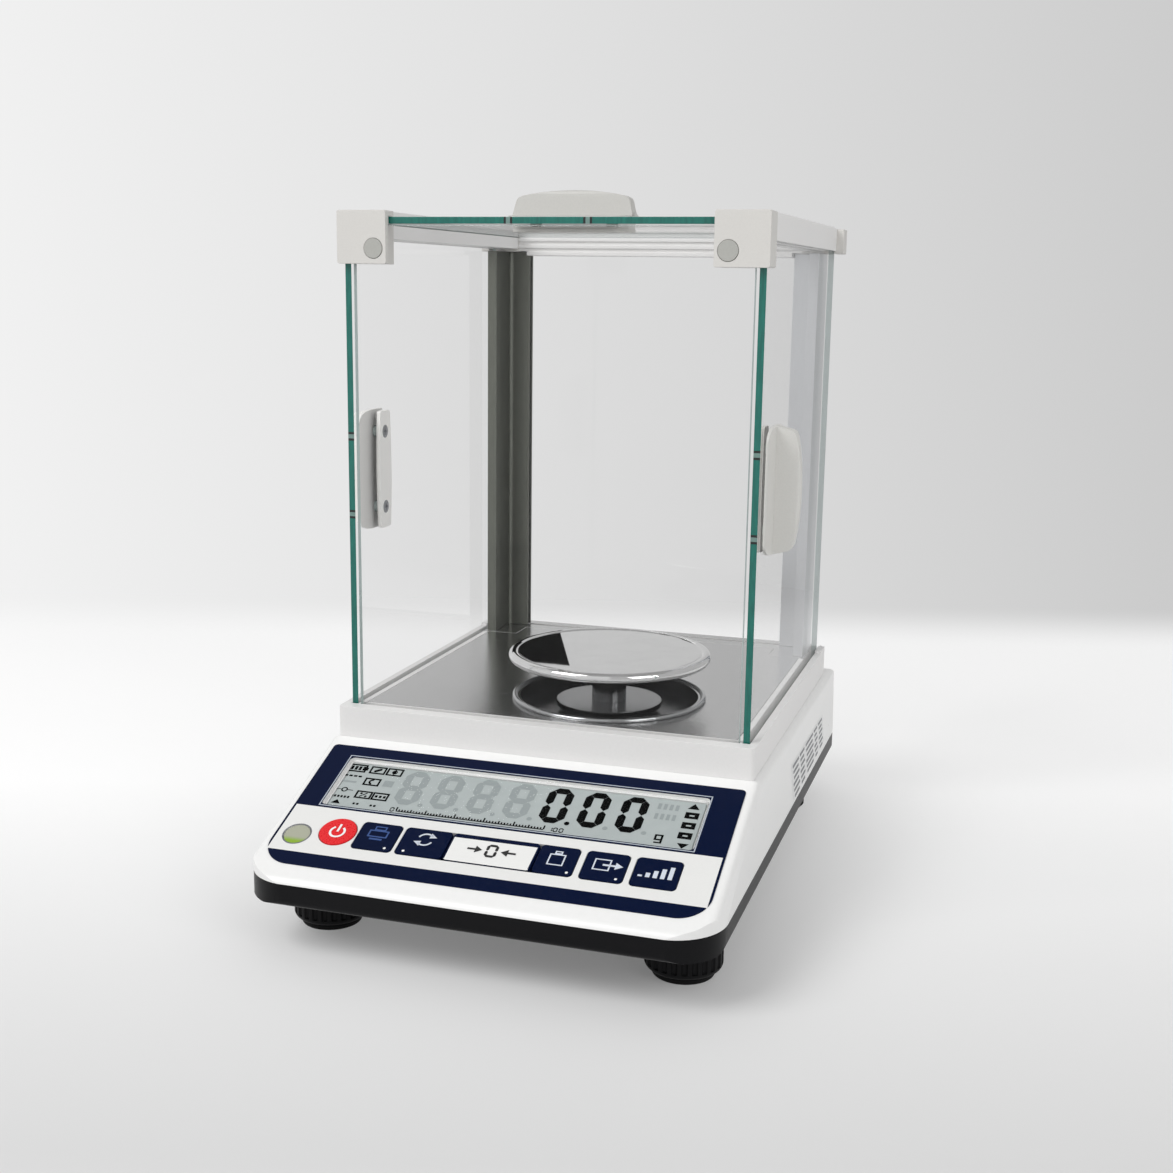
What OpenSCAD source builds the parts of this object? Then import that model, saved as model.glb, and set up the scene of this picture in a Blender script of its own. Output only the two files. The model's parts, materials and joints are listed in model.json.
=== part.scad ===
// Analytical balance with a glass draft shield that has three sliding doors.
// Origin: centre of the box over the whole object, on the bench. +X is the user's right,
// +Y points to the back and +Z up. All sizes are in millimetres.

/* [Body] */
// Width of the body
body_w = 200; // [167:1:240]
// Depth of the body
body_d = 300; // [250:1:360]
// Height of the lower tray's underside above the bench
base_z = 22.5; // [21:0.5:24]
// Height of the seam between the lower tray and the upper housing
seam_z = 32; // [31.5:0.5:34]
// Height of the flat deck that carries the draft shield
deck_z = 68; // [66:0.5:82]
// Height of the white front edge above the seam, where the sloped panel would meet it
front_edge_h = 2; // [1.5:0.1:3]
// Distance from the body's front to the draft shield's front
panel_run = 86.5; // [86:0.5:94]
// Wall of the moulded housings
wall = 2.5; // [2:0.1:3]
// Plan radius of the body's front corners
front_corner_r = 22; // [14:1:26]
// Plan radius of the body's rear corners
rear_corner_r = 12; // [8:1:20]
// Radius of the lip under the front panel
lip_r = 4; // [3:0.5:5]
// Radius of the deck's rear edge
deck_rear_r = 14; // [8:1:18]
// Radius along the upper side edges
side_edge_r = 4; // [2:0.5:5]
// How much each side leans in between seam and deck
side_draft = 1.4; // [0.5:0.1:2]

/* [Draft shield] */
// Width of the deck that shows beside the draft shield
deck_side = 4.5; // [3:0.5:8]
// Depth of the deck that shows behind the draft shield
deck_back = 16; // [12:0.5:24]
// Height of the shield's base frame
shield_base_h = 14; // [12:0.5:18]
// Height from the base frame's top to the top of the rails
cage_h = 218; // [170:1:270]
// Thickness of every glass pane
glass_t = 3; // [2.5:0.1:4]
// Play of a pane in its groove, on each side
glass_fit = 0.2; // [0.1:0.05:0.3]
// Distance from the shield's side to the outer face of a side door
door_inset = 3.5; // [3:0.1:5]
// Height of the side rails
rail_h = 11.6; // [11:0.2:14]
// Width of a side rail
rail_w = 17.5; // [16:0.5:19]
// Width of a front corner cap
cap_w = 22.8; // [21:0.2:26]
// Height of a front corner cap
cap_h = 22.4; // [20:0.2:26]
// Thickness of a corner cap's front plate
cap_t = 4; // [3:0.5:5]
// Depth of a rear column's side flange
column_d = 27; // [22:0.5:30]
// Width of a rear column
column_w = 16; // [14:0.5:20]
// Thickness of a rear column's flanges
column_t = 5; // [4:0.5:6]

/* [Doors] */
// Length of a door handle
handle_l = 54.5; // [48:0.5:64]
// How far a door handle stands out of its glass
handle_h = 12.6; // [10:0.2:14]
// Distance between the two screws of a handle
handle_pitch = 34.6; // [28:0.2:38]
// Distance from a side door's front edge to its handle screws
handle_setback = 27.5; // [24:0.5:35]
// Distance from the top door's front edge to its handle screws
top_setback = 35; // [26:0.5:45]
// Width of a handle's flange in front of its screws
handle_flange = 16.5; // [10:0.5:18]
// Diameter of the holes drilled in the glass
glass_hole_d = 5; // [4:0.1:6]

/* [Weighing pan] */
// Diameter of the pan's flat surface
pan_flat_d = 84; // [70:1:85]
// Diameter of the pan's rolled rim
rim_d = 5; // [4:0.2:5.4]
// Height of the pan above the deck plate
pan_rise = 22; // [18:0.5:26]
// Distance of the pan's centre from the middle of the body, to the right
pan_x = 15; // [0:0.5:18]
// Distance from the shield's front to the pan's centre
pan_setback = 58; // [57:0.5:70]
// Diameter of the draft ring's lip in the deck plate
ring_d = 90; // [80:1:92]
// Deflection of the weighing cell at full load
pan_travel = 0.5; // [0.2:0.1:0.6]

/* [Front panel] */
// Width of the white border beside the overlay film
overlay_side = 6; // [5:0.5:10]
// Distance from the shield's front to the overlay's top edge, along the slope
overlay_top = 6.5; // [5:0.5:8]
// Length of the overlay along the slope
overlay_l = 77; // [70:0.5:78]
// Thickness of the overlay film
overlay_t = 0.4; // [0.3:0.1:0.6]
// Width of the overlay beside the display window
window_side = 12.5; // [10:0.5:30]
// Height of the display window along the slope
window_h = 32; // [26:0.5:33]
// Distance from the overlay's top edge to the display window
window_drop = 7.5; // [6:0.5:8]
// Height of the square keys along the slope
key_h = 16; // [12:0.5:17]
// Travel of a key
key_travel = 0.5; // [0.3:0.1:0.6]

/* [Feet] */
// Diameter of a levelling foot
foot_d = 32; // [26:1:34]
// Distance from the body's side to a foot's centre
foot_side = 22; // [20:1:30]
// Distance from the body's front to the front feet
foot_front = 43; // [40:1:50]
// Distance from the body's back to the rear feet
foot_rear = 45; // [40:1:60]

/* [Hidden] */
$fn = 64;
LEFT = -1;
RIGHT = 1;

// Body
panel_slope = atan((deck_z - seam_z - front_edge_h) / panel_run);
front_y = -body_d / 2;
back_y = body_d / 2;
floor_z = base_z + wall;
fit = 0.2;
gap = 0.3;

// Draft shield: planes that several pieces share
shield_y = front_y + panel_run;
shield_w = body_w - 2 * deck_side;
shield_back = back_y - deck_back;
door_span = shield_w - 2 * door_inset;
plate_t = 1.5;
plate_z = deck_z + shield_base_h;
rail_top = plate_z + cage_h;
rail_z = rail_top - rail_h;
door_x = door_span / 2 - glass_t;
slot_x = door_x - glass_fit;
slot_w = glass_t + 2 * glass_fit;
rail_x = door_span / 2 + 1.5 - rail_w;
cap_y = shield_y + 3.5;
cap_x = rail_x + rail_w + 0.3 - cap_w;
rail_y = cap_y + 13;
pane_y = cap_y + cap_t - 1;
door_y = cap_y + cap_t;
groove_deep = 6;
pane_z = plate_z - groove_deep;
door_z = pane_z + fit;
top_door_z = rail_top - 5.6;
rear_y = shield_back - 5;
column_x = door_x - 1.5;
column_y = rear_y - column_d;
beam_z = rail_z - 3.4;
beam_d = 14;
door_l = rear_y - 8 - door_y;
top_door_w = 2 * (rail_x + 3.7);
rear_pane_w = 2 * (column_x - column_w + 3.8);
rear_pane_y = rear_y - 4.5;
column_top = rail_z - 1.4;
screw_r = 1.5;
plug_r = 4.2;
plug_x = cap_x + 5.8;
plug_z = rail_top - 15.9;

FRAME = [for (x = [-1, 1], y = [shield_y + 8, shield_back - 8]) [x * body_w / 4, y]];

// Pan and weighing cell
pan_y = shield_y + pan_setback;
pan_z = plate_z + pan_rise;
pan_t = 1;
well_r = ring_d / 2;
dish_z = plate_z - 7.5;
dish_t = 1;
carrier_z = plate_z - 3.5;
stem_r = 8;
cell_w = 30;
cell_z = floor_z + 13;
cell_h = deck_z - wall - 5.5 - cell_z;
cell_y = pan_y - 15;
cell_l = back_y - 50.5 - cell_y;
adapter_gap = pan_travel + gap;
hook_r = 6;
adapter_r = 11;
adapter_h = 10;
spigot_r = 4.5;
cell_hole_r = 7;

// Front panel: s runs down the slope from the shield's front edge, and the row of keys
// keeps its proportions when the body's width changes
overlay_w = body_w - 2 * overlay_side;
window_w = overlay_w - 2 * window_side;
row = overlay_w / 188;
keys_s = overlay_top + overlay_l - 21.6;
key_top = 0.9;
key_fit = 0.3;
key_depth = 3;
window_x = -1;
window_s = overlay_top + window_drop + window_h / 2;
level_x = -84.3 * row;
level_s = overlay_top + overlay_l - 17.5;
level_r = 5.6 * row;
power_x = -67.3 * row;
power_r = 8 * row;
KEYS = [for (k = [
    [-49.4, 17.6], [-28.5, 20.5], [1, 37.5], [28.5, 16.5], [48.6, 17.6], [69.6, 18.6]
]) k * row];

// Boards
board_x = 20 - body_w / 2;
board_t = 1.6;
display_board_n = -9.5;
display_board_s = 43;
display_board_h = 52;
lcd_deep = 6;

// Feet
foot_x = body_w / 2 - foot_side;
front_foot_y = front_y + foot_front;
rear_foot_y = back_y - foot_rear;
pad_h = 2.4;
knob_h = 13.5;
foot_boss_z = base_z - 4;
stud_r = 3;
insert_r = 4.5;
thread_fit = 0.08;
FLUTES = 24;

// Helpers
module block(low, high) translate(low) cube(high - low);
module side(s) scale([s, 1, 1]) children();
module along_y(y0, y1) translate([0, y1, 0]) rotate([90, 0, 0]) linear_extrude(y1 - y0) children();
module along_x(x0, x1) translate([x0, 0, 0]) rotate([90, 0, 90]) linear_extrude(x1 - x0) children();
module on_panel(x, s) translate([0, shield_y, deck_z]) rotate([panel_slope, 0, 0])
    translate([x, -s, 0]) children();
module rounded(w, h, r) {
    square([w - 2 * r, h], center = true);
    square([w, h - 2 * r], center = true);
    for (x = [-1, 1], y = [-1, 1]) translate([x * (w / 2 - r), y * (h / 2 - r)]) circle(r);
}
function panel_z(y) = deck_z - (shield_y - y) * tan(panel_slope);
function panel_y(s) = shield_y - s * cos(panel_slope);

// Plan outline of the body, set in by d
module body_plan(d) {
    f = front_corner_r;
    r = rear_corner_r;
    translate([-body_w / 2 + d, front_y + f]) square([body_w - 2 * d, body_d - f - r]);
    translate([-body_w / 2 + f, front_y + d]) square([body_w - 2 * f, f]);
    translate([-body_w / 2 + r, back_y - r - 1]) square([body_w - 2 * r, r + 1 - d]);
    for (s = [-1, 1]) {
        translate([s * (body_w / 2 - f), front_y + f]) circle(f - d);
        translate([s * (body_w / 2 - r), back_y - r]) circle(r - d);
    }
}

// Points of an arc round c from angle a to angle b
function arc(c, r, a, b, n) = [for (i = [0:n]) c + r * [cos(a + (b - a) * i / n), sin(a + (b - a) * i / n)]];

// Side outline in y and z: sloped panel, lip, deck and rounded rear edge
module body_side(d) {
    lip = [front_y + lip_r, panel_z(front_y + lip_r) - lip_r / cos(panel_slope)];
    rear = [back_y - deck_rear_r, deck_z - deck_rear_r];
    polygon(concat(
        [[front_y + d, 0]],
        arc(lip, lip_r - d, 180, 90 + panel_slope, 6),
        [[shield_y + d * tan(panel_slope / 2), deck_z - d]],
        arc(rear, deck_rear_r - d, 90, 0, 12),
        [[back_y - d, 0]]
    ));
}

// Cross section with rounded upper edges; its top lies at z = 0 and its sides lean in
// over the height lean_h
module edge_section(d, lean_h) {
    c = [body_w / 2 - side_draft - side_edge_r, -side_edge_r];
    v = [body_w / 2 - d, -lean_h] - c;
    a = atan2(v[1], v[0]) + acos((side_edge_r - d) / norm(v));
    half = concat(arc(c, side_edge_r - d, 90, a, 7), [c + v, [body_w / 2 - d, -3 * deck_z]]);
    n = len(half);
    polygon(concat(half, [for (i = [1:n]) [-half[n - i][0], half[n - i][1]]]));
}

// Solid form of the upper body, set in by d all round and cut off at low_z
module body_form(d, low_z) intersection() {
    along_x(-body_w, body_w) body_side(d);
    translate([0, 0, low_z]) linear_extrude(2 * deck_z) body_plan(d);
    along_y(-body_d, body_d) translate([0, deck_z]) edge_section(d, deck_z - seam_z);
    translate([0, shield_y, deck_z]) rotate([panel_slope, 0, 0])
        along_y(-body_d, body_d) edge_section(d, 2 * side_edge_r);
}

// Outline of a key or of its hole
module key_shape(w, grow) rounded(w + 2 * grow, key_h + 2 * grow, 1.8 + grow);

// Holes of the keys: the three in the middle share one
module key_holes(low, high, grow) {
    left = KEYS[1][0] - KEYS[1][1] / 2;
    right = KEYS[3][0] + KEYS[3][1] / 2;
    for (k = [KEYS[0], [(left + right) / 2, right - left], KEYS[4], KEYS[5]])
        on_panel(k[0], keys_s) translate([0, 0, low])
            linear_extrude(high - low) key_shape(k[1], grow);
    on_panel(power_x, keys_s) translate([0, 0, low]) cylinder(r = power_r + grow, h = high - low);
}

module level_hole() on_panel(level_x, level_s) translate([0, 0, -2 * wall])
    cylinder(r = level_r + fit, h = 4 * wall);

// Places of the screws that join tray and housing
SCREWS = [for (x = [-1, 1], p = [[38, front_y + 14], [13, 12], [13, back_y - 14]])
    [x * (body_w / 2 - p[0]), p[1]]];

// Lower tray with ribs, screw bosses and the bosses over the feet
module lower_base() color("#2b2c2f") difference() {
    union() {
        difference() {
            intersection() {
                translate([0, 0, base_z]) linear_extrude(seam_z - base_z) body_plan(0);
                along_x(-body_w, body_w) translate([0, seam_z]) tray_edge(body_d);
                along_y(-body_d, body_d) translate([0, seam_z]) tray_edge(body_w);
            }
            translate([0, 0, floor_z]) linear_extrude(seam_z) body_plan(wall);
        }
        translate([0, 0, floor_z]) linear_extrude(seam_z + 2.5 - floor_z) difference() {
            body_plan(wall + fit);
            body_plan(2 * wall - 0.5);
            translate([-body_w / 2, front_y]) square([body_w, front_corner_r + 4]);
        }
        for (x = [-1, 1], y = [front_foot_y, rear_foot_y]) translate([x * foot_x, y, foot_boss_z])
            cylinder(r = 15, h = seam_z - foot_boss_z - 1);
        for (p = SCREWS) translate([p[0], p[1], base_z]) cylinder(r = 4.5, h = seam_z - base_z - 1);
        for (y = [front_y + 66, back_y - 96]) block([-body_w / 2 + wall, y, base_z],
            [body_w / 2 - wall, y + 2, floor_z + 4]);
        for (x = [-1, 1]) block([x * 55 - 1, front_y + wall, base_z], [x * 55 + 1, back_y - wall, floor_z + 4]);
        for (x = [-62, -32], y = [-20, 60]) translate([x, y, base_z]) cylinder(r = 3.5, h = wall + 6);
    }
    for (x = [-1, 1], y = [front_foot_y, rear_foot_y]) translate([x * foot_x, y, foot_boss_z - 1])
        cylinder(r = insert_r, h = seam_z);
    for (p = SCREWS) {
        translate([p[0], p[1], base_z - 1]) cylinder(r = 1.9, h = seam_z);
        translate([p[0], p[1], base_z - 1]) cylinder(r = 3.4, h = 6);
    }
    translate([pan_x, pan_y, base_z - 1]) cylinder(r = hook_r, h = wall + 2);
}

// Section of the tray with rounded bottom edges; its top lies at z = 0
module tray_edge(w) {
    r = 3;
    h = seam_z - base_z;
    translate([-w / 2, -h + r]) square([w, h - r]);
    translate([-w / 2 + r, -h]) square([w - 2 * r, h]);
    for (s = [-1, 1]) translate([s * (w / 2 - r), -h + r]) circle(r);
}

// Upper shell with the sloped front panel
module upper_housing() color("#f4f4f2") difference() {
    union() {
        difference() {
            body_form(0, seam_z + 0.2);
            body_form(wall, 0);
        }
        intersection() {
            for (p = SCREWS) translate([p[0], p[1], seam_z - 0.8]) cylinder(r = 4.5, h = deck_z);
            along_x(-body_w, body_w) body_side(wall / 2);
        }
    }
    key_holes(-wall - 3, key_top, key_fit);
    level_hole();
    on_panel(window_x, window_s) {
        translate([0, 0, -1.5]) linear_extrude(3) rounded(window_w + 2 * fit, window_h + 2 * fit, 2 + fit);
        translate([0, 0, -wall - 3]) linear_extrude(wall + 4) rounded(window_w - 2, window_h - 2, 1);
    }
    translate([pan_x, pan_y, deck_z - 2 * wall]) cylinder(r = adapter_r + 4, h = 3 * wall);
    for (p = SCREWS) translate([p[0], p[1], seam_z - 2]) cylinder(r = screw_r, h = 6);
    for (p = FRAME) translate([p[0], p[1], deck_z - 2 * wall]) cylinder(r = screw_r + 0.2, h = 3 * wall);
    jack_place() block([-5, -20, -6.5], [5, 20, 6.5]);
    port_place() along_y(-20, 20) rounded(18.2, 9.4, 2.5);
    for (s = [-1, 1]) port_place() translate([s * 12.5, 20, 0]) rotate([90, 0, 0]) cylinder(r = 1.6, h = 40);
}

module jack_place() translate([-62, back_y - wall, 44]) children();
module port_place() translate([-22, back_y - wall, 46]) children();

// White frame that carries the glass: grooves for the panes, a recess for the plate
module shield_base() color("#eeeeec") {
    difference() {
        union() {
            translate([0, 0, deck_z]) linear_extrude(shield_base_h) shield_plan();
            for (s = [-1, 1]) side(s) block([slot_x + slot_w, rear_y - 16, deck_z],
                [shield_w / 2, shield_back - 9, plate_z + 1.2]);
        }
        for (s = [-1, 1]) side(s) {
            block([slot_x, door_y - 1, plate_z - groove_deep], [slot_x + slot_w, shield_back + 1, plate_z + 2]);
            translate([column_x - 4, rear_y - 4, deck_z - 1]) cylinder(r = screw_r + 0.2, h = 20);
            translate([column_x - 4, rear_y - 4, deck_z - 1]) cylinder(r = 3.2, h = 5);
        }
        for (p = FRAME) translate([p[0], p[1], deck_z - 1])
            cylinder(r = screw_r, h = shield_base_h - groove_deep);
        block([-door_x + 1.2, pane_y - glass_fit, plate_z - groove_deep],
            [door_x - 1.2, pane_y + glass_t + glass_fit, plate_z + 1]);
        block([-rear_pane_w / 2 - 0.5, rear_pane_y - glass_fit, plate_z - groove_deep],
            [rear_pane_w / 2 + 0.5, rear_pane_y + glass_t + glass_fit, plate_z + 1]);
        translate([0, 0, plate_z - plate_t]) linear_extrude(plate_t + 1) offset(delta = fit) plate_plan();
        translate([pan_x, pan_y, dish_z]) cylinder(r = well_r - 1, h = 20);
        translate([pan_x, pan_y, deck_z - 1]) cylinder(r = adapter_r + 4, h = 20);
        shield_pockets();
    }
}

// Plan of the shield's frame: square front, rounded rear corners
module shield_plan() hull() for (s = [-1, 1]) {
    translate([s * (shield_w / 2 - 2), shield_y + 2]) circle(2);
    translate([s * (shield_w / 2 - 9), shield_back - 9]) circle(9);
}

// Plan of the steel plate, notched round the two columns
module plate_plan() {
    half = door_x - 3;
    back = rear_y - 12;
    difference() {
        translate([-half, pane_y + glass_t + 1]) square([2 * half, back - pane_y - glass_t - 1]);
        for (s = [-1, 1]) side(s) translate([column_x - column_w - 1.5, column_y - 1.5]) square([40, 60]);
    }
}

// Hollows under the frame, between its ribs
module shield_pockets() {
    xs = [-82, -40, 2, 44];
    ys = [for (i = [0:3]) shield_y + 14 + i * 42];
    for (x = xs, y = ys) difference() {
        block([x, y, deck_z - 1], [x + 39, y + 39, plate_z - plate_t - 3]);
        translate([pan_x, pan_y, 0]) cylinder(r = well_r + 2, h = 2 * plate_z);
    }
}

// Stainless plate on the chamber's floor
module deck_plate() color("#a9abad") translate([0, 0, plate_z - plate_t]) linear_extrude(plate_t)
    difference() {
        plate_plan();
        translate([pan_x, pan_y]) circle(well_r - 2.5);
    }

// Spun dish with a rolled lip that keeps draughts off the carrier
module draft_ring() color("#8f9194") translate([pan_x, pan_y, 0]) rotate_extrude() {
    translate([well_r - 1.2, plate_z + 0.9]) difference() {
        circle(1.2, $fn = 32);
        translate([-2, -2]) square([4, 1.1]);
    }
    translate([well_r - 3.6, plate_z]) square([2.6, 0.9]);
    translate([well_r - 3.6, dish_z + 0.1]) square([dish_t, plate_z - dish_z]);
    translate([stem_r + 5, dish_z + 0.1]) square([well_r - stem_r - 8, dish_t]);
    translate([stem_r + 5, dish_z + 0.1]) square([dish_t, 2.4]);
}

// Weighing cell: a block thinned by four bores joined in pairs
module load_cell() color("#c6c8ca") difference() {
    block([pan_x - cell_w / 2, cell_y, cell_z], [pan_x + cell_w / 2, cell_y + cell_l, cell_z + cell_h]);
    for (part = [0.32, 0.42, 0.6, 0.7])
        translate([pan_x, along_cell(part), cell_z + cell_h / 2]) rotate([0, 90, 0])
            cylinder(r = cell_hole_r, h = cell_w + 2, center = true);
    block([pan_x - cell_w, along_cell(0.42), cell_z + cell_h / 2 - 2],
        [pan_x + cell_w, along_cell(0.6), cell_z + cell_h / 2 + 2]);
    for (p = bolt_places()) translate([p[0], p[1], cell_z - 1]) cylinder(r = 2.6, h = cell_h + 2);
}

function along_cell(part) = cell_y + cell_l * part;
function bolt_places() = [for (x = [-8, 8], part = [0.82, 0.93]) [pan_x + x, along_cell(part)]];

// Foot of the weighing cell, standing on the tray
module load_cell_bracket() color("#b4b6b8") difference() {
    union() {
        block([pan_x - 24, along_cell(0.74), floor_z], [pan_x + 24, along_cell(1), floor_z + 5]);
        block([pan_x - cell_w / 2, along_cell(0.76), floor_z], [pan_x + cell_w / 2, along_cell(1), cell_z]);
    }
    for (p = bolt_places()) translate([p[0], p[1], floor_z + 3]) cylinder(r = 2.1, h = 20);
    for (x = [-20, 20]) translate([pan_x + x, along_cell(0.87), base_z]) cylinder(r = 2.2, h = 20);
}

// Four socket-head bolts through the cell into its foot
module load_cell_bolts() color("#3a3a3c") for (p = bolt_places()) translate([p[0], p[1], 0])
    difference() {
        union() {
            translate([0, 0, cell_z - 8]) cylinder(r = 2, h = cell_h + 8);
            translate([0, 0, cell_z + cell_h]) cylinder(r = 3.5, h = 4);
        }
        translate([0, 0, cell_z + cell_h + 2]) cylinder(r = 1.7, h = 3, $fn = 6);
    }

// Main circuit board on its pillars, with the parts soldered to it
module main_board() color("#1f6b3a") {
    z = floor_z + 6;
    block([board_x, -30, z], [-10, 96, z + board_t]);
    block([-60, 16, z + board_t], [-40, 36, z + board_t + 2]);
    block([-30, 40, z + board_t], [-20, 60, z + board_t + 8]);
    for (i = [0:2]) translate([board_x + 8, -14 + 14 * i, z + board_t]) cylinder(r = 4, h = 11);
    block([board_x + 2, 60, z + board_t], [board_x + 18, 84, z + board_t + 9]);
    block([-50, -26, z + board_t], [-20, -21, z + board_t + 6]);
}

// Board behind the panel, with one tact switch under each key
module display_board() color("#1f6b3a") {
    on_panel(window_x, display_board_s) translate([0, 0, display_board_n - board_t])
        linear_extrude(board_t) difference() {
            square([window_w - 14, display_board_h], center = true);
            for (x = [-1, 1]) translate([x * (window_w / 2 - 12), 8]) circle(1.6);
        }
    for (k = concat(KEYS, [[power_x, 0]])) on_panel(k[0], keys_s)
        translate([-3, -3, display_board_n]) cube([6, 6, -key_depth - 0.5 - key_travel - display_board_n]);
    on_panel(-30, 26) translate([0, 0, display_board_n - board_t - 5]) linear_extrude(5)
        square([24, 5], center = true);
}

// Display module: bezel with the liquid-crystal cell
module lcd_module() color("#9aa39b") on_panel(window_x, window_s) {
    translate([0, 0, -wall - lcd_deep]) linear_extrude(lcd_deep) rounded(window_w + 5, window_h + 6, 1);
    translate([0, 0, -wall - 0.2]) linear_extrude(0.9) rounded(window_w - 3, window_h - 3, 1);
}

// Clear window over the display
module lcd_window() color("#cfd8d2") on_panel(window_x, window_s)
    translate([0, 0, -1.5]) linear_extrude(1.5 + overlay_t) rounded(window_w, window_h, 2);

// Printed film on the panel, cut out for the keys, the window and the level
module keypad_overlay() color("#1c2f5c") difference() {
    on_panel(0, overlay_top + overlay_l / 2) linear_extrude(overlay_t) overlay_shape();
    key_holes(-1, 2, key_fit);
    level_hole();
    on_panel(window_x, window_s) translate([0, 0, -1]) linear_extrude(3)
        rounded(window_w + 2 * fit, window_h + 2 * fit, 2 + fit);
}

module overlay_shape() hull() for (s = [-1, 1]) {
    translate([s * (overlay_w / 2 - 2), overlay_l / 2 - 2]) circle(2);
    translate([s * (overlay_w / 2 - 13), -overlay_l / 2 + 13]) circle(13);
}

// Bull's-eye level: a lens that lies in the panel and the upright vial under it
module level_vial() color("#c9d64a") {
    vial_r = level_r + 2.4;
    vial_top = -vial_r * tan(panel_slope) - wall / cos(panel_slope) - gap;
    on_panel(level_x, level_s) {
        translate([0, 0, -wall - 0.5]) cylinder(r = level_r, h = wall + 0.7);
        translate([0, 0, -3 * wall]) cylinder(r = level_r - 1, h = 3 * wall);
    }
    translate([level_x, panel_y(level_s), panel_z(panel_y(level_s)) + vial_top - 5])
        cylinder(r = vial_r, h = 5);
}

// Supply inlet: a moulded socket with a centre pin
module dc_jack() color("#1a1a1b") jack_place() {
    difference() {
        union() {
            block([-4.8, -9, -6.2], [4.8, wall - 0.5, 6.2]);
            block([-6.5, -2, -7.5], [6.5, 0, 7.5]);
        }
        translate([0, wall, 0]) rotate([90, 0, 0]) cylinder(r = 3.1, h = 10);
    }
    translate([0, wall - 1.5, 0]) rotate([90, 0, 0]) cylinder(r = 1, h = 10);
}

// Nine-way data socket with its two jack screws
module serial_port() color("#b9bbbd") port_place() {
    difference() {
        union() {
            block([-15.5, -1.2, -6.2], [15.5, 0, 6.2]);
            along_y(-9, wall - 0.6) rounded(16.6, 7.8, 2);
            for (s = [-1, 1]) translate([s * 12.5, wall - 0.2, 0]) rotate([90, 0, 0])
                cylinder(r = 1.4, h = wall + 1);
        }
        for (i = [-2:2]) translate([i * 2.77, wall, 1.4]) rotate([90, 0, 0]) cylinder(r = 0.5, h = 5);
        for (i = [-1.5:1:1.5]) translate([i * 2.77, wall, -1.4]) rotate([90, 0, 0]) cylinder(r = 0.5, h = 5);
    }
}

// Brass inserts for the studs of the front feet
module thread_inserts() color("#b08d3c") for (x = [-1, 1]) translate([x * foot_x, front_foot_y, foot_boss_z])
    difference() {
        cylinder(r = insert_r, h = seam_z - 2 - foot_boss_z);
        translate([0, 0, -1]) cylinder(r = stud_r + thread_fit, h = seam_z);
    }

// Screws from below that hold tray and housing together
module housing_screws() color("#6d6f72") for (p = SCREWS) translate([p[0], p[1], base_z + 2.8])
    pan_screw(10);

// Pan-head screw with a cross slot; its head lies below and its tip points up
module pan_screw(l) difference() {
    union() {
        cylinder(r = 3, h = 2.2);
        cylinder(r = screw_r, h = l);
    }
    cross_slot(1.1);
}

module cross_slot(deep) for (a = [0, 90]) rotate([0, 0, a]) translate([-1.6, -0.35, -0.1])
    cube([3.2, 0.7, deep + 0.1]);

// Plain rubber feet under the back
module rear_feet() color("#1d1d1f") for (x = [-1, 1]) translate([x * foot_x, rear_foot_y, 0]) {
    rotate_extrude() difference() {
        square([foot_d / 2 - 3, foot_boss_z]);
        translate([foot_d / 2 - 3, 0]) circle(1.5, $fn = 32);
    }
    translate([0, 0, foot_boss_z]) cylinder(r = insert_r - 0.05, h = 6);
}

// Flat cable from the display board to the main board
module ribbon_cable() color("#8d8f94") along_x(-42, -24) {
    z = floor_z + 6 + board_t + 6;
    plug = [panel_y(26) + 6, panel_z(panel_y(26)) - 16.9];
    polygon([[-24, z], [-23, z], [-23, z + 9], [plug[0] + 4, plug[1] - 1], [plug[0] - 4, plug[1] - 1],
        [plug[0] - 4, plug[1] - 2], [plug[0] + 3.6, plug[1] - 2], [-24, z + 8]]);
}

// Angle column: side flange, rear flange with a glass groove, screw channel in the corner
module column(s) color("#9b9ea3") side(s) difference() {
    translate([0, 0, plate_z]) linear_extrude(column_top - plate_z) difference() {
        union() {
            translate([column_x - column_t, column_y]) square([column_t, column_d]);
            translate([column_x - column_w, rear_y - 6]) square([column_w, 6]);
            translate([column_x - column_t - 2, rear_y - 8]) square([4, 4]);
        }
        translate([column_x - column_t - 2, rear_y - 8]) circle(2);
        translate([column_x - column_w - 1, rear_pane_y - glass_fit]) square([5, slot_w]);
    }
    translate([column_x - 4, rear_y - 4, plate_z - 1]) cylinder(r = screw_r, h = column_top);
}

module column_left() column(LEFT);
module column_right() column(RIGHT);

// Side rail: groove for the top door, slot for the side door
module rail(s) color("#efefed") side(s) along_y(rail_y, rear_y - 12) difference() {
    translate([rail_x, rail_z]) square([rail_w, rail_h]);
    translate([slot_x, rail_z - 1]) square([slot_w, 7]);
    translate([rail_x - 1, top_door_z - glass_fit]) square([5, slot_w]);
    translate([rail_x + 5.5, rail_z - 1]) square([4.5, 5]);
    translate([rail_x + rail_w, rail_top]) rotate(45) square(1.4, center = true);
}

module rail_left() rail(LEFT);
module rail_right() rail(RIGHT);

// Cross beam over the rear pane, with ribs on its front
module rear_beam() color("#e9e9e7") difference() {
    along_x(-rail_x, rail_x) difference() {
        translate([rear_y - beam_d + 2, beam_z]) square([beam_d, top_door_z - 0.4 - beam_z]);
        translate([rear_pane_y - glass_fit, beam_z - 1]) square([slot_w, 5.5]);
        for (i = [0, 1]) translate([rear_y - beam_d + 1, beam_z + 2 + 3.6 * i]) square([2, 1.8]);
    }
    for (s = [-1, 1]) side(s) block([column_x - column_w - gap, column_y, beam_z - 1], [door_x, back_y, column_top + gap]);
}

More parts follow.
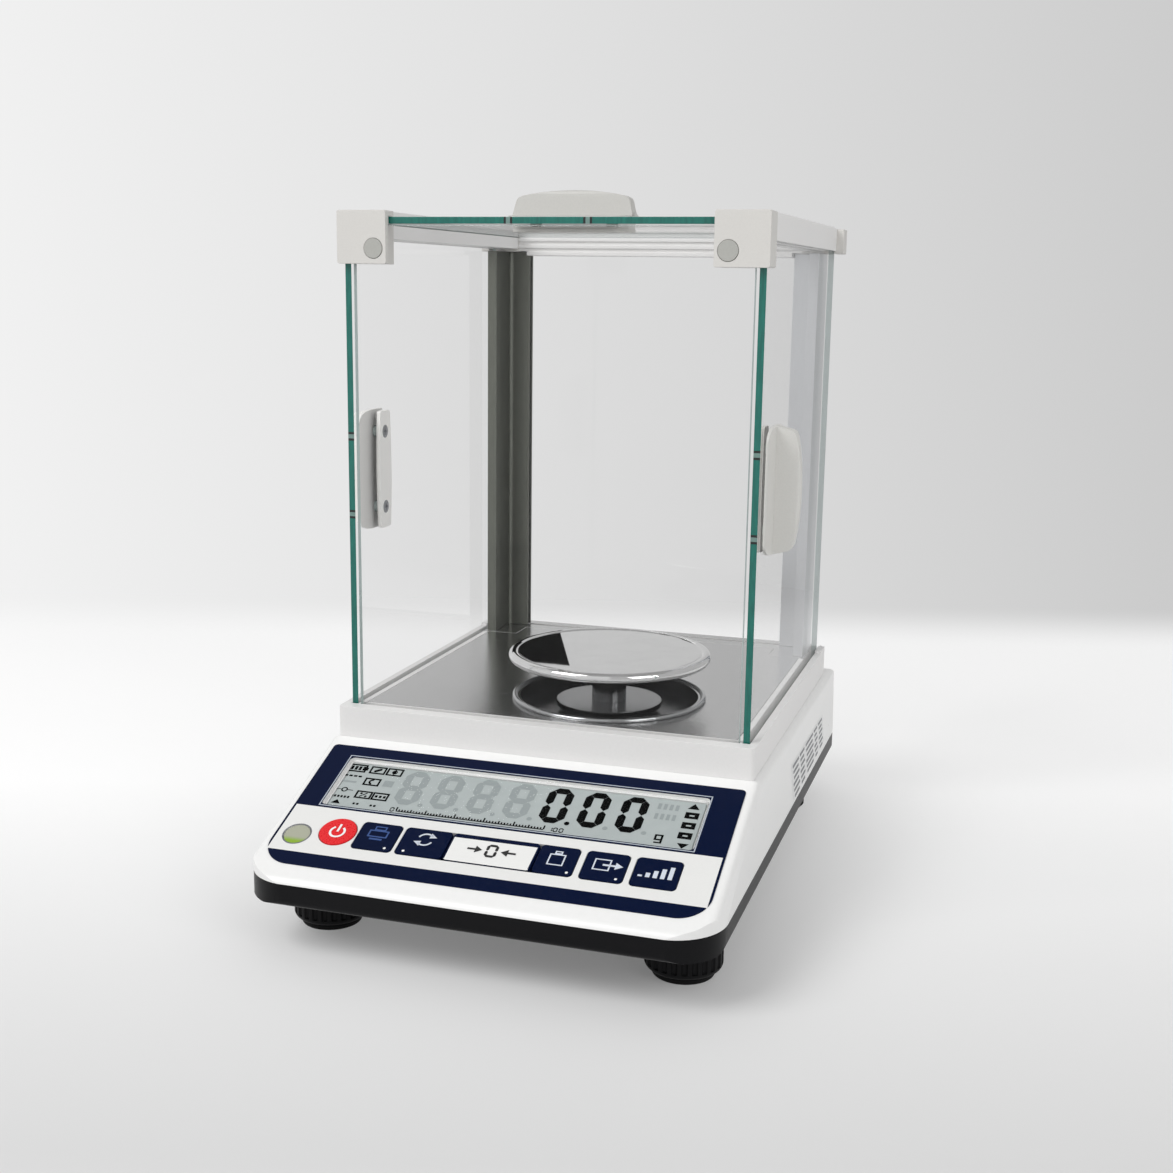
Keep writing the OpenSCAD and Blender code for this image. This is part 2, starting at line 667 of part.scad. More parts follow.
// Front corner cap: clamps rail, side door slot and front pane together
module corner_cap(s) color("#f0f0ee") side(s) difference() {
    along_y(cap_y, rail_y) translate([cap_x + cap_w / 2, rail_top - cap_h / 2])
        rounded(cap_w, cap_h, 1);
    block([cap_x - 1, pane_y - glass_fit, rail_top - cap_h - 1],
        [door_x - 1, pane_y + glass_t + glass_fit, top_door_z - glass_fit]);
    block([slot_x, door_y - 0.5, rail_top - cap_h - 1], [slot_x + slot_w, door_y + 30, rail_z + 6]);
    block([cap_x - 1, door_y - 0.5, top_door_z - glass_fit],
        [rail_x + 4, door_y + 30, top_door_z + glass_t + glass_fit]);
    block([cap_x - 1, pane_y + glass_t, rail_top - cap_h - 1], [cap_x + 2, door_y + 30, rail_top + 1]);
    translate([plug_x, cap_y, plug_z]) rotate([-90, 0, 0]) {
        translate([0, 0, -1]) cylinder(r = plug_r + 0.1, h = 2.2);
        translate([0, 0, -1]) cylinder(r = screw_r + 0.2, h = 30);
    }
}

module corner_cap_left() corner_cap(LEFT);
module corner_cap_right() corner_cap(RIGHT);

// Rear end cap: closes the rail and stands a little proud of it
module rear_cap(s) color("#ececea") side(s) difference() {
    translate([0, 0, column_top]) linear_extrude(rail_top - 1 - column_top) hull() {
        translate([rail_x, rear_y - 12]) square([rail_w + 3.5, 4]);
        translate([rail_x, rear_y]) square([4, 2]);
        translate([rail_x + rail_w - 0.5, rear_y - 2]) circle(4);
    }
    block([slot_x, rear_y - 20, column_top - 1], [slot_x + slot_w, rear_y + 9, rail_z + 6]);
    block([rail_x - 1, rear_y - 20, top_door_z - glass_fit], [rail_x + 4, rear_y + 9, top_door_z + glass_t + glass_fit]);
    translate([column_x - 4, rear_y - 4, column_top - 1]) cylinder(r = screw_r + 0.2, h = 30);
}

module rear_cap_left() rear_cap(LEFT);
module rear_cap_right() rear_cap(RIGHT);

// Screws of the frame: four from the housing into its base, one under and one over each
// column, and one in each front cap
module frame_screws() color("#77797c") {
    for (p = FRAME) translate([p[0], p[1], deck_z - wall - 2.2])
        pan_screw(wall + shield_base_h - groove_deep + 1);
    for (s = [-1, 1]) side(s) {
        translate([column_x - 4, rear_y - 4, deck_z + 1.8]) pan_screw(shield_base_h + 10);
        translate([column_x - 4, rear_y - 4, rail_top - 1]) rotate([180, 0, 0]) {
            translate([0, 0, -1.6]) cylinder(r = 2.8, h = 1.6);
            cylinder(r = screw_r, h = 20);
        }
        translate([plug_x, cap_y + 1.3, plug_z]) rotate([-90, 0, 0]) cylinder(r = screw_r, h = 10);
    }
}

// Grey plugs that cover the screws of the front caps
module cap_plugs() color("#b9b9b5") for (s = [-1, 1]) side(s)
    translate([plug_x, cap_y - 0.3, plug_z]) rotate([-90, 0, 0]) cylinder(r = plug_r, h = 1.5);

// Fixed front pane, drilled for the cap screws
module front_glass() color("#bfe3da") difference() {
    block([-door_x + 1.5, pane_y, pane_z], [door_x - 1.5, pane_y + glass_t, top_door_z - 0.6]);
    for (s = [-1, 1]) side(s) translate([plug_x, pane_y - 1, plug_z]) rotate([-90, 0, 0])
        cylinder(d = glass_hole_d, h = glass_t + 2);
}

// Fixed rear pane between the columns
module rear_glass() color("#bfe3da")
    block([-rear_pane_w / 2, rear_pane_y, pane_z], [rear_pane_w / 2, rear_pane_y + glass_t, beam_z + 4]);

// Door pane lying flat: x across its width from 0, y along its travel, z its thickness
module door_pane(w, hole_x, setback) difference() {
    cube([w, door_l, glass_t]);
    for (i = [-1, 1]) translate([hole_x + i * handle_pitch / 2, setback, -1])
        cylinder(d = glass_hole_d, h = glass_t + 2);
}

// Outer handle: a thin flange on the glass, a groove and an upright grip with a bowed edge.
// x runs along the handle, y along the door's travel, z out of the glass.
module handle() color("#e6e6e3") difference() {
    intersection() {
        along_x(-handle_l / 2, handle_l / 2) polygon([
            [-handle_flange, 0], [-handle_flange, 0.6], [0.8 - handle_flange, 1.2],
            [-3.4, 1.9], [-3.1, 2.6], [-1.9, handle_h - 1.6], [-1.2, handle_h - 0.5],
            [0, handle_h], [2.6, handle_h], [3.9, handle_h - 0.6], [4.4, handle_h - 2],
            [4.2, 4.5], [5, 2.6], [8, 1.8], [8, 0]
        ]);
        along_y(-2 * handle_flange, handle_flange) handle_front();
        linear_extrude(2 * handle_h) handle_plan();
    }
    along_x(-handle_l, handle_l) translate([-3.9, 1.7]) square([0.6, 1]);
    for (i = [-1, 1]) translate([i * handle_pitch / 2, 0, -1]) cylinder(r = screw_r, h = 7.5);
}

// Mirrors a list of points from the right half to the left
function both_halves(half) = concat(half, [for (i = [1:len(half)])
    [-half[len(half) - i][0], half[len(half) - i][1]]]);

// Front outline of the handle: ends that lean in and a bowed top edge
module handle_front() intersection() {
    bow = 2.8;
    r = (pow(handle_l / 2 - 2, 2) + bow * bow) / (2 * bow);
    polygon(both_halves(concat(
        [[handle_l / 2, 0], [handle_l / 2, 1.6]],
        arc([handle_l / 2 - 4.2, handle_h - bow - 2.6], 2.8, 8, 78, 5),
        [[handle_l / 2 - 12, handle_h + bow]]
    )));
    translate([0, handle_h - r]) circle(r, $fn = 240);
}

// Plan of the handle: the flange grows narrower towards its front edge
module handle_plan() polygon(both_halves([
    [handle_l / 2, 10], [handle_l / 2, -4], [handle_l / 2 - 0.6, 0.45 - handle_flange * 0.6],
    [handle_l / 2 - 1.6, 3.6 - handle_flange], [handle_l / 2 - 3.4, 1.2 - handle_flange],
    [handle_l / 2 - 6, -handle_flange]
]));

// Inner counter plate below the glass: a strip with bowed sides on a narrower sole
module counter_plate() color("#e6e6e3") difference() {
    union() {
        translate([0, 0, -glass_t - 2.2]) linear_extrude(1.3) plate_outline(12.4);
        translate([0, 0, -glass_t - 1]) linear_extrude(1 - 0.01) plate_outline(11.2);
    }
    for (i = [-1, 1]) translate([i * handle_pitch / 2, 0, -glass_t - 2.7]) {
        cylinder(r = screw_r + 0.2, h = 5);
        cylinder(r1 = 3.6, r2 = screw_r, h = 2.2);
    }
}

module plate_outline(w) intersection() {
    bow = 1.2;
    r = (pow(handle_l / 2, 2) + bow * bow) / (2 * bow);
    rounded(handle_l - 1, w, 3);
    translate([0, r - w / 2]) circle(r, $fn = 360);
    translate([0, w / 2 - r]) circle(r, $fn = 360);
}

// Two countersunk screws that clamp handle and counter plate on the glass
module handle_screws() color("#5c5e61") for (i = [-1, 1])
    translate([i * handle_pitch / 2, 0, -glass_t - 2.1]) difference() {
        union() {
            cylinder(r = screw_r - 0.05, h = 2.1 + glass_t + 5);
            cylinder(r1 = 3, r2 = screw_r - 0.05, h = 1.6);
        }
        cross_slot(0.8);
    }

// Places a handle part on a side door or on the top door
module on_side_door(s) translate([s * door_span / 2, door_y + handle_setback, handle_z()])
    side(s) rotate([0, 90, 0]) children();
module on_top_door() translate([0, door_y + top_setback, top_door_z + glass_t]) children();
function handle_z() = plate_z + 104;

module side_glass(s) color("#bfe3da") side(s) translate([door_x, door_y, door_z])
    rotate([0, -90, 0]) mirror([0, 0, 1]) door_pane(rail_z + 4.5 - door_z, handle_z() - door_z, handle_setback);

module door_glass_left() side_glass(LEFT);
module door_glass_right() side_glass(RIGHT);
module door_glass_top() color("#bfe3da") translate([-top_door_w / 2, door_y, top_door_z])
    door_pane(top_door_w, top_door_w / 2, top_setback);
module door_handle_left() on_side_door(LEFT) handle();
module door_handle_right() on_side_door(RIGHT) handle();
module door_handle_top() on_top_door() handle();
module counter_plate_left() on_side_door(LEFT) counter_plate();
module counter_plate_right() on_side_door(RIGHT) counter_plate();
module counter_plate_top() on_top_door() counter_plate();
module handle_screws_left() on_side_door(LEFT) handle_screws();
module handle_screws_right() on_side_door(RIGHT) handle_screws();
module handle_screws_top() on_top_door() handle_screws();

// Polished pan with a rolled rim and a hub that sits on the carrier's stem
module weighing_pan() color("#d8d9db") translate([pan_x, pan_y, 0]) rotate_extrude() {
    r = pan_flat_d / 2;
    translate([0, pan_z - pan_t]) square([r, pan_t]);
    translate([r - 0.4, pan_z - pan_t - 0.5]) square([1.5, 1.4]);
    translate([r + rim_d / 2 - 0.2, pan_z - rim_d / 2 + 0.6]) difference() {
        circle(d = rim_d, $fn = 48);
        circle(d = rim_d - 1.6, $fn = 32);
    }
    difference() {
        translate([0, pan_z - pan_t - 5]) square([stem_r + 3, 5.2]);
        translate([0, pan_z - pan_t - 6]) square([stem_r - 2 + 0.02, 4.5]);
    }
}

// Carrier: spigot below, shield disc at plate height, stem up to the pan
module pan_carrier() color("#8d8f92") translate([pan_x, pan_y, 0]) rotate_extrude() {
    translate([0, carrier_z]) square([24.5, 2.5]);
    translate([0, carrier_z + 2.5]) square([stem_r, pan_rise - pan_t - 5 + 1 - 0.02]);
    translate([0, pan_z - pan_t - 5.5]) square([stem_r - 2, 3.6]);
    translate([0, carrier_z - 8]) square([spigot_r, 8.1]);
}

// Socket on the free end of the weighing cell
module pan_adapter() color("#a6a8aa") translate([pan_x, pan_y, cell_z + cell_h])
    rotate_extrude() difference() {
        square([adapter_r, carrier_z - adapter_gap - cell_z - cell_h]);
        translate([0, 4]) square([spigot_r + 0.05, 30]);
    }

// Key: a cap that moves in its hole and a stem over the switch
module key(k) color("#16284f") on_panel(k[0], keys_s) {
    translate([0, 0, -key_depth + 0.8]) linear_extrude(key_depth - 0.8 + key_top) key_shape(k[1], 0);
    translate([0, 0, -key_depth - 0.4]) cylinder(r = 1.5, h = 2);
}

module key_print() key(KEYS[0]);
module key_unit() key(KEYS[1]);
module key_zero() key(KEYS[2]);
module key_cal() key(KEYS[3]);
module key_mode() key(KEYS[4]);
module key_range() key(KEYS[5]);
module key_power() color("#c8202b") on_panel(power_x, keys_s) {
    translate([0, 0, -key_depth + 0.8]) cylinder(r = power_r, h = key_depth - 0.8 + key_top);
    translate([0, 0, -key_depth - 0.4]) cylinder(r = 1.5, h = 2);
}

// Levelling foot: a fluted knob with a threaded stud
module foot_knob(s) color("#1d1d1f") translate([s * foot_x, front_foot_y, 0]) {
    difference() {
        translate([0, 0, pad_h + gap]) rotate_extrude() {
            translate([0, 3]) square([foot_d / 2, knob_h - 3]);
            square([foot_d / 2 - 3, 3.1]);
            translate([foot_d / 2 - 3, 3]) circle(3);
        }
        for (i = [0:FLUTES - 1]) rotate(i * 360 / FLUTES) translate([foot_d / 2 + 0.4, 0, pad_h + 3])
            cylinder(r = 1.3, h = knob_h);
    }
    translate([0, 0, pad_h + gap]) cylinder(r = stud_r, h = seam_z - 3 - pad_h);
}

// Rubber sole that stays put on the bench while the knob turns
module foot_pad(s) color("#101011") translate([s * foot_x, front_foot_y, 0])
    cylinder(r1 = foot_d / 2 - 3.5, r2 = foot_d / 2 - 2.5, h = pad_h);

module foot_knob_left() foot_knob(LEFT);
module foot_knob_right() foot_knob(RIGHT);
module foot_pad_left() foot_pad(LEFT);
module foot_pad_right() foot_pad(RIGHT);

lower_base();
upper_housing();
shield_base();
deck_plate();
draft_ring();
load_cell();
load_cell_bracket();
load_cell_bolts();
main_board();
display_board();
lcd_module();
lcd_window();
keypad_overlay();
level_vial();
dc_jack();
serial_port();
thread_inserts();
housing_screws();
rear_feet();
ribbon_cable();
column_left();
column_right();
rail_left();
rail_right();
rear_beam();
corner_cap_left();
corner_cap_right();
rear_cap_left();
rear_cap_right();
frame_screws();
cap_plugs();
front_glass();
rear_glass();
door_glass_left();
door_handle_left();
counter_plate_left();
handle_screws_left();
door_glass_right();
door_handle_right();
counter_plate_right();
handle_screws_right();
door_glass_top();
door_handle_top();
counter_plate_top();
handle_screws_top();
weighing_pan();
pan_carrier();
pan_adapter();
key_power();
key_print();
key_unit();
key_zero();
key_cal();
key_mode();
key_range();
foot_knob_left();
foot_pad_left();
foot_knob_right();
foot_pad_right();
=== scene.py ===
"""An analytical balance: a moulded bench housing with a sloped front panel, a round
steel pan and a glass draft shield with two side doors and a top door that slide back."""

import json
import math

import bmesh
import bpy
from mathutils import Matrix, Vector


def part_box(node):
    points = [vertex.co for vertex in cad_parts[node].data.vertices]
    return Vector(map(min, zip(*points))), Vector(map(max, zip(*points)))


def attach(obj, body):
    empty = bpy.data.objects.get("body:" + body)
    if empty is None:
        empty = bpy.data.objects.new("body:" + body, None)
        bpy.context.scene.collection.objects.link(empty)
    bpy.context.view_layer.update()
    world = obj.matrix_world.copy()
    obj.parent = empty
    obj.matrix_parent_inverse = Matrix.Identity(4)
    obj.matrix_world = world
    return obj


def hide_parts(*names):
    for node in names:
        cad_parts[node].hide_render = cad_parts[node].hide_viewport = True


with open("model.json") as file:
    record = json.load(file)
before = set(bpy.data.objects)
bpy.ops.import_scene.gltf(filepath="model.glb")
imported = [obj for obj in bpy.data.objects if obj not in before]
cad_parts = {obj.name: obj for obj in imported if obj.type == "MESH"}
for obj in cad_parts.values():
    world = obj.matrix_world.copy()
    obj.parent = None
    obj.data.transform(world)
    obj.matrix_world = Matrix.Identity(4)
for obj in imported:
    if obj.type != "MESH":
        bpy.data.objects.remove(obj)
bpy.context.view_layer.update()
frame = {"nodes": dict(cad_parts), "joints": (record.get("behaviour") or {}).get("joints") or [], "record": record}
MM = 0.001


# --- Lower tray -----------------------------------------------------------------------
# The black tray that carries everything: injection-moulded ABS with a fine spark-eroded
# texture, screwed to the upper housing from below.
def linear(hex_colour):
    """An sRGB hex value as the linear RGBA that a shader takes."""
    parts = [int(hex_colour[i : i + 2], 16) / 255 for i in (0, 2, 4)]
    return [c / 12.92 if c <= 0.04045 else ((c + 0.055) / 1.055) ** 2.4 for c in parts] + [1]


def add(material, kind, values=(), links=(), **settings):
    """Adds a node with its settings, socket values and incoming links."""
    made = material.node_tree.nodes.new(kind)
    for name, value in settings.items():
        setattr(made, name, value)
    for name, value in dict(values).items():
        made.inputs[name].default_value = value
    for name, source in dict(links).items():
        material.node_tree.links.new(source, made.inputs[name])
    return made


def start(name, **values):
    """A new material: its Principled shader and its Object coordinates."""
    material = bpy.data.materials.new(name)
    material.use_nodes = True
    shader = material.node_tree.nodes["Principled BSDF"]
    for socket, value in values.items():
        shader.inputs[socket.replace("_", " ")].default_value = value
    place = add(material, "ShaderNodeTexCoord").outputs["Object"]
    return material, shader, place


def join(material, source, target):
    """Links two sockets."""
    material.node_tree.links.new(source, target)


def grain(material, shader, place, size, depth, stretch=(1, 1, 1), detail=2):
    """A bump of that grain size and depth in metres, stretched along an axis."""
    mapped = add(material, "ShaderNodeMapping", {"Scale": stretch}, {"Vector": place})
    noise = add(
        material,
        "ShaderNodeTexNoise",
        {"Scale": 1 / size, "Detail": detail, "Roughness": 0.6},
        {"Vector": mapped.outputs["Vector"]},
    )
    bump = add(
        material,
        "ShaderNodeBump",
        {"Strength": 1.0, "Distance": depth},
        {"Height": noise.outputs["Fac"]},
    )
    join(material, bump.outputs["Normal"], shader.inputs["Normal"])
    return noise.outputs["Fac"]


def blend_colours(material, shader, share, dark, light):
    """The shader's colour runs from dark to light with share."""
    mix = add(
        material,
        "ShaderNodeMix",
        {6: linear(dark), 7: linear(light)},
        {0: share},
        data_type="RGBA",
    )
    join(material, mix.outputs[2], shader.inputs["Base Color"])


def blend_gloss(material, shader, share, rough):
    """The shader's roughness runs over that pair of values with share."""
    span = add(
        material,
        "ShaderNodeMapRange",
        {"To Min": rough[0], "To Max": rough[1]},
        {"Value": share},
    )
    join(material, span.outputs["Result"], shader.inputs["Roughness"])


def moulded(name, dark, light, rough, size, depth, stretch=(1, 1, 1), **values):
    """A slightly mottled colour and gloss over a fine surface texture."""
    material, shader, place = start(name, **values)
    noise = grain(material, shader, place, size, depth, stretch)
    blend_colours(material, shader, noise, dark, light)
    blend_gloss(material, shader, noise, rough)
    return material


BODIES = {
    node: body
    for body, nodes in frame["record"]["behaviour"]["bodies"].items()
    for node in nodes
}


def piece(name, work, body, materials, *nodes):
    """Puts a finished bmesh into the scene, on its body and in place of CAD nodes."""
    mesh = bpy.data.meshes.new(name)
    work.to_mesh(mesh)
    work.free()
    made = bpy.data.objects.new(name, mesh)
    bpy.context.scene.collection.objects.link(made)
    for material in materials:
        mesh.materials.append(material)
    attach(made, body)
    if nodes:
        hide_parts(*nodes)
    return made


SEAT_GAP = 0.05 * MM


def rounded(node, materials, edge=0.4, angle=40, shading=30, cuts=(), paint=None, seat=None):
    """A CAD node's own form with its edges broken by that many millimetres.

    A seat is an axis, a place on it and a side: the face that lies there on glass is
    drawn back to that side by 0.05 mm, so that the two surfaces don't coincide.

    Faces that meet at less than the shading angle are shaded as one. The cuts are planes,
    a point and a normal each, along which the faces are parted before paint, which gives
    each face its material's number.
    """
    work = bmesh.new()
    work.from_mesh(frame["nodes"][node].data)
    bmesh.ops.remove_doubles(work, verts=work.verts, dist=0.001 * MM)
    bmesh.ops.dissolve_limit(
        work, angle_limit=math.radians(0.05), verts=work.verts, edges=work.edges
    )
    for point, normal in cuts:
        everything = work.verts[:] + work.edges[:] + work.faces[:]
        bmesh.ops.bisect_plane(work, geom=everything, plane_co=point, plane_no=normal)
    if edge:
        bmesh.ops.bevel(
            work,
            geom=[e for e in work.edges if e.calc_face_angle(0) > math.radians(angle)],
            offset=edge * MM,
            offset_type="OFFSET",
            segments=2,
            profile=0.5,
            affect="EDGES",
            clamp_overlap=False,
            material=-1,
        )
    if seat:
        axis, place, side = seat
        for vert in work.verts:
            if abs(vert.co[axis] - place) < SEAT_GAP / 2:
                vert.co[axis] += side * SEAT_GAP
    for face in work.faces:
        face.smooth = shading > 0
        if paint:
            face.material_index = paint(face)
    for line in work.edges:
        line.smooth = line.calc_face_angle(0) < math.radians(shading)
    made = piece(node + "_finished", work, BODIES[node], materials, node)
    if shading:
        flatten = made.modifiers.new("flat_faces", "WEIGHTED_NORMAL")
        flatten.keep_sharp = True
        flatten.weight = 100
    return made


DARK_SHINE = 0.15
TEXTURED_ABS = moulded(
    "textured_abs",
    "070709",
    "0e0e11",
    (0.32, 0.42),
    0.5 * MM,
    0.008 * MM,
    Specular_IOR_Level=DARK_SHINE,
)
rounded("lower_base", [TEXTURED_ABS], edge=0.08)

# --- Upper housing --------------------------------------------------------------------
# The white shell with the sloped panel: moulded ABS with a semi-gloss surface that takes
# soft reflections and has a very slight orange peel.
GLOSS_ABS = moulded("gloss_abs", "ececeb", "f1f1f0", (0.26, 0.32), 3 * MM, 0.002 * MM)
rounded("upper_housing", [GLOSS_ABS], edge=0.08, shading=18)


# --- Chamber floor ---------------------------------------------------------------------
# The stainless plate, brushed from side to side. Its scratches are drawn 0.3 mm apart,
# coarser than real ones, so that they show.
def brushed(name, dark, light, rough, stretch, metallic=1.0, depth=0.003):
    """Brushed metal: long fine scratches along one axis."""
    return moulded(
        name, dark, light, rough, 0.3 * MM, depth * MM, stretch, Metallic=metallic
    )


BRUSHED_STEEL = brushed("brushed_stainless", "b4b4b4", "cacaca", (0.20, 0.30), (0.02, 1, 1))
rounded("deck_plate", [BRUSHED_STEEL], edge=0.2)
FLOOR_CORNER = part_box("deck_plate")[1]

# --- Base of the draft shield -----------------------------------------------------------
# A white moulded frame with the grooves that the panes stand in; slightly warmer and more
# matt than the housing. It is faced with steel round the notches of the chamber's floor,
# where the columns stand.
FRAME_ABS = moulded("frame_abs", "e3e2e1", "e9e8e7", (0.34, 0.42), 1.2 * MM, 0.003 * MM)
NOTCH_Y, NOTCH_END = 99 * MM, 129 * MM
NOTCH_SIDE = 1 * MM


def under_column(face):
    """1 for the frame's upper faces round a column's foot, else 0."""
    middle = face.calc_center_median()
    beside = abs(middle.x) < FLOOR_CORNER[0] + NOTCH_SIDE
    return int(face.normal.z > 0.9 and beside and NOTCH_Y < middle.y < NOTCH_END)


rounded(
    "shield_base",
    [FRAME_ABS, BRUSHED_STEEL],
    edge=0.12,
    shading=18,
    cuts=[(Vector((0, NOTCH_Y, 0)), Vector((0, 1, 0)))],
    paint=under_column,
)

# --- Draft ring -------------------------------------------------------------------------
# The ring let into the floor is spun from stainless steel and polished. Its faces below the
# floor and inside its lip are drawn in a darker steel: painted shade in the well.
SPUN_STEEL = brushed("spun_stainless", "8f9091", "b4b5b6", (0.06, 0.14), (1, 1, 0.1))
SHADED_STEEL = brushed("ring_steel_painted_shade", "3c3d3e", "505152", (0.2, 0.3), (1, 1, 0.1))
ring_low, ring_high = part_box("draft_ring")
ring_middle = (Vector(ring_low) + Vector(ring_high)) / 2
LIP_FOOT = 0.3 * MM
LEAN = 0.3


def inward(face):
    """1 for the ring's faces that take the painted shade, else 0."""
    middle = face.calc_center_median()
    out = middle - ring_middle
    facing_in = face.normal.x * out.x + face.normal.y * out.y < -LEAN * out.xy.length
    return int(facing_in or middle.z < FLOOR_CORNER[2] - LIP_FOOT)


rounded("draft_ring", [SPUN_STEEL, SHADED_STEEL], edge=0.15, paint=inward)

# --- Frame of the draft shield ----------------------------------------------------------
# Two anodised aluminium columns, two moulded rails, a beam between them and four caps.
# The left column's faces towards the chamber are painted dark grey: painted shade.
ANODISED = brushed("anodised_aluminium", "c2c4c8", "d4d6d9", (0.28, 0.40), (1, 1, 0.02), 0.9)
ALUMINIUM_PAINTED_SHADE = brushed("aluminium_painted_shade", "62645e", "75776f", (0.32, 0.44), (1, 1, 0.02), 0.8)
# The caps are drawn greyer than the frame's ABS: painted shade for their front faces.
CAP_ABS = moulded("cap_abs", "cdcbc7", "d6d4d0", (0.40, 0.50), 0.8 * MM, 0.012 * MM)
PLUG_ABS = moulded("plug_abs", "a5a5a0", "b1b1ac", (0.42, 0.52), 0.6 * MM, 0.012 * MM)
rounded(
    "column_left",
    [ANODISED, ALUMINIUM_PAINTED_SHADE],
    edge=0.3,
    # painted shade on the faces that look forward or to the right, towards the chamber
    paint=lambda face: 1 if face.normal.y < -0.5 or face.normal.x > 0.5 else 0,
)
rounded("column_right", [ANODISED], edge=0.3)
for hand in ("left", "right"):
    rounded("rail_" + hand, [FRAME_ABS], edge=0.35)
    rounded("corner_cap_" + hand, [CAP_ABS], edge=0.3)
    rounded("rear_cap_" + hand, [CAP_ABS], edge=0.4)
rounded("rear_beam", [FRAME_ABS], edge=0.3)
rounded("cap_plugs", [PLUG_ABS], edge=0.3)


# --- Glass -------------------------------------------------------------------------------
# Float glass 3 mm thick with ground edges. Face on it is all but clear; a ground edge
# collects the glass's green and shows as a deep teal line, and the holes for a handle's
# screws show through the edge as dark bands round a pale middle. The doors' rear edges and
# the fixed panes' edges are only seamed and stay pale.
def clear(name, tint, ior):
    """A clear sheet: lets the view through and mirrors more at a low angle."""
    material, shader, place = start(name)
    see = add(material, "ShaderNodeBsdfTransparent", {"Color": linear(tint)})
    shine = add(material, "ShaderNodeBsdfGlossy", {"Roughness": 0.02})
    fresnel = add(material, "ShaderNodeFresnel", {"IOR": ior})
    geometry = add(material, "ShaderNodeNewGeometry")
    outer = add(
        material,
        "ShaderNodeMath",
        {0: 1.0},
        {1: geometry.outputs["Backfacing"]},
        operation="SUBTRACT",
    )
    share = add(
        material,
        "ShaderNodeMath",
        links={0: fresnel.outputs[0], 1: outer.outputs[0]},
        operation="MULTIPLY",
    )
    mix = add(
        material,
        "ShaderNodeMixShader",
        links={0: share.outputs[0], 1: see.outputs[0], 2: shine.outputs[0]},
    )
    join(material, mix.outputs[0], material.node_tree.nodes["Material Output"].inputs[0])
    material.node_tree.nodes.remove(shader)
    return material


FLOAT_GLASS = clear("float_glass", "fefefe", 1.35)
GROUND_EDGE = moulded(
    "ground_glass_edge", "0a4f49", "1c7a6c", (0.15, 0.3), 0.9 * MM, 0.01 * MM, (1, 1, 0.12)
)
HOLE_WALL = moulded("hole_wall", "101514", "1d2422", (0.2, 0.3), 0.6 * MM, 0.01 * MM)
HOLE_MIDDLE = moulded("hole_middle", "5f7a75", "7c9690", (0.2, 0.3), 0.6 * MM, 0.01 * MM)
SEAMED_EDGE = moulded("seamed_edge", "a9bab7", "bccac8", (0.3, 0.4), 0.9 * MM, 0.002 * MM)
PANE_MATERIALS = [FLOAT_GLASS, GROUND_EDGE, HOLE_WALL, HOLE_MIDDLE, SEAMED_EDGE]
CLEAR, GROUND, BORE, CORE, SEAMED = range(5)
HOLE_PITCH = 34.6 * MM
HOLE_R = 1.9 * MM
HOLE_CORE = 0.9 * MM


def pane(node, across, screws=None, along=0):
    """A pane whose broad faces look across; screws names the node that bores it."""
    holes = []
    if screws:
        low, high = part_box(screws)
        middle = (low[along] + high[along]) / 2
        holes = [middle - HOLE_PITCH / 2, middle + HOLE_PITCH / 2]
    normal = Vector([float(axis == along) for axis in range(3)])
    reach = (-HOLE_R, -HOLE_CORE, HOLE_CORE, HOLE_R)

    def paint(face):
        """The pane's material at a face, by its number."""
        if abs(face.normal[across]) > 0.9:
            return CLEAR
        if across == 1 or face.normal.y > 0.5:
            return SEAMED
        offset = min([abs(face.calc_center_median()[along] - h) for h in holes] + [1])
        if face.normal.y < -0.5 and offset < HOLE_R:
            return CORE if offset < HOLE_CORE else BORE
        return GROUND

    rounded(
        node,
        PANE_MATERIALS,
        edge=0.25,
        shading=0,
        cuts=[(normal * (hole + side), normal) for hole in holes for side in reach],
        paint=paint,
    )


pane("front_glass", 1)
pane("rear_glass", 1)
pane("door_glass_left", 0, "handle_screws_left", 2)
pane("door_glass_right", 0, "handle_screws_right", 2)
pane("door_glass_top", 2, "handle_screws_top", 0)

# --- Door handles ---------------------------------------------------------------------
# Each door has a moulded grip outside and a counter plate inside, clamped on the glass by
# two countersunk screws. On the side doors the plate's faces next to the glass are drawn
# dark brown. The left door's grip and plate are drawn paler than the right's: painted light
# on their faces through the glass. The top door's grip and plate are drawn greyer.
HANDLE_ABS = moulded("handle_abs", "d2d1cd", "dbdad6", (0.38, 0.46), 0.8 * MM, 0.006 * MM)
# The left handle's paler copy of the handle ABS is painted light
HANDLE_ABS_PAINTED_LIGHT = moulded("handle_abs_painted_light", "f0efec", "f6f5f2", (0.38, 0.46), 0.8 * MM, 0.006 * MM)
# A dark brown band on the faces of the side doors' counter plates that lie next to the glass
DARK_SEAT_BAND = moulded("dark_seat_band", "2c2623", "3a3330", (0.55, 0.7), 0.6 * MM, 0.02 * MM)
PLATED_STEEL = brushed("plated_steel", "85878a", "a0a2a5", (0.22, 0.32), (1, 1, 1))
SEAT_BAND = 0.35 * MM
TOP_ABS = moulded("top_handle_abs", "bcbbb7", "c6c5c1", (0.38, 0.46), 0.8 * MM, 0.006 * MM)
GRIPS = {
    "left": (HANDLE_ABS_PAINTED_LIGHT, DARK_SEAT_BAND),
    "right": (HANDLE_ABS, DARK_SEAT_BAND),
    "top": (TOP_ABS, TOP_ABS),
}


def near_glass(axis, place):
    """Gives the dark brown band to the faces that lie near that place on an axis."""
    return lambda face: int(abs(face.calc_center_median()[axis] - place) < SEAT_BAND)


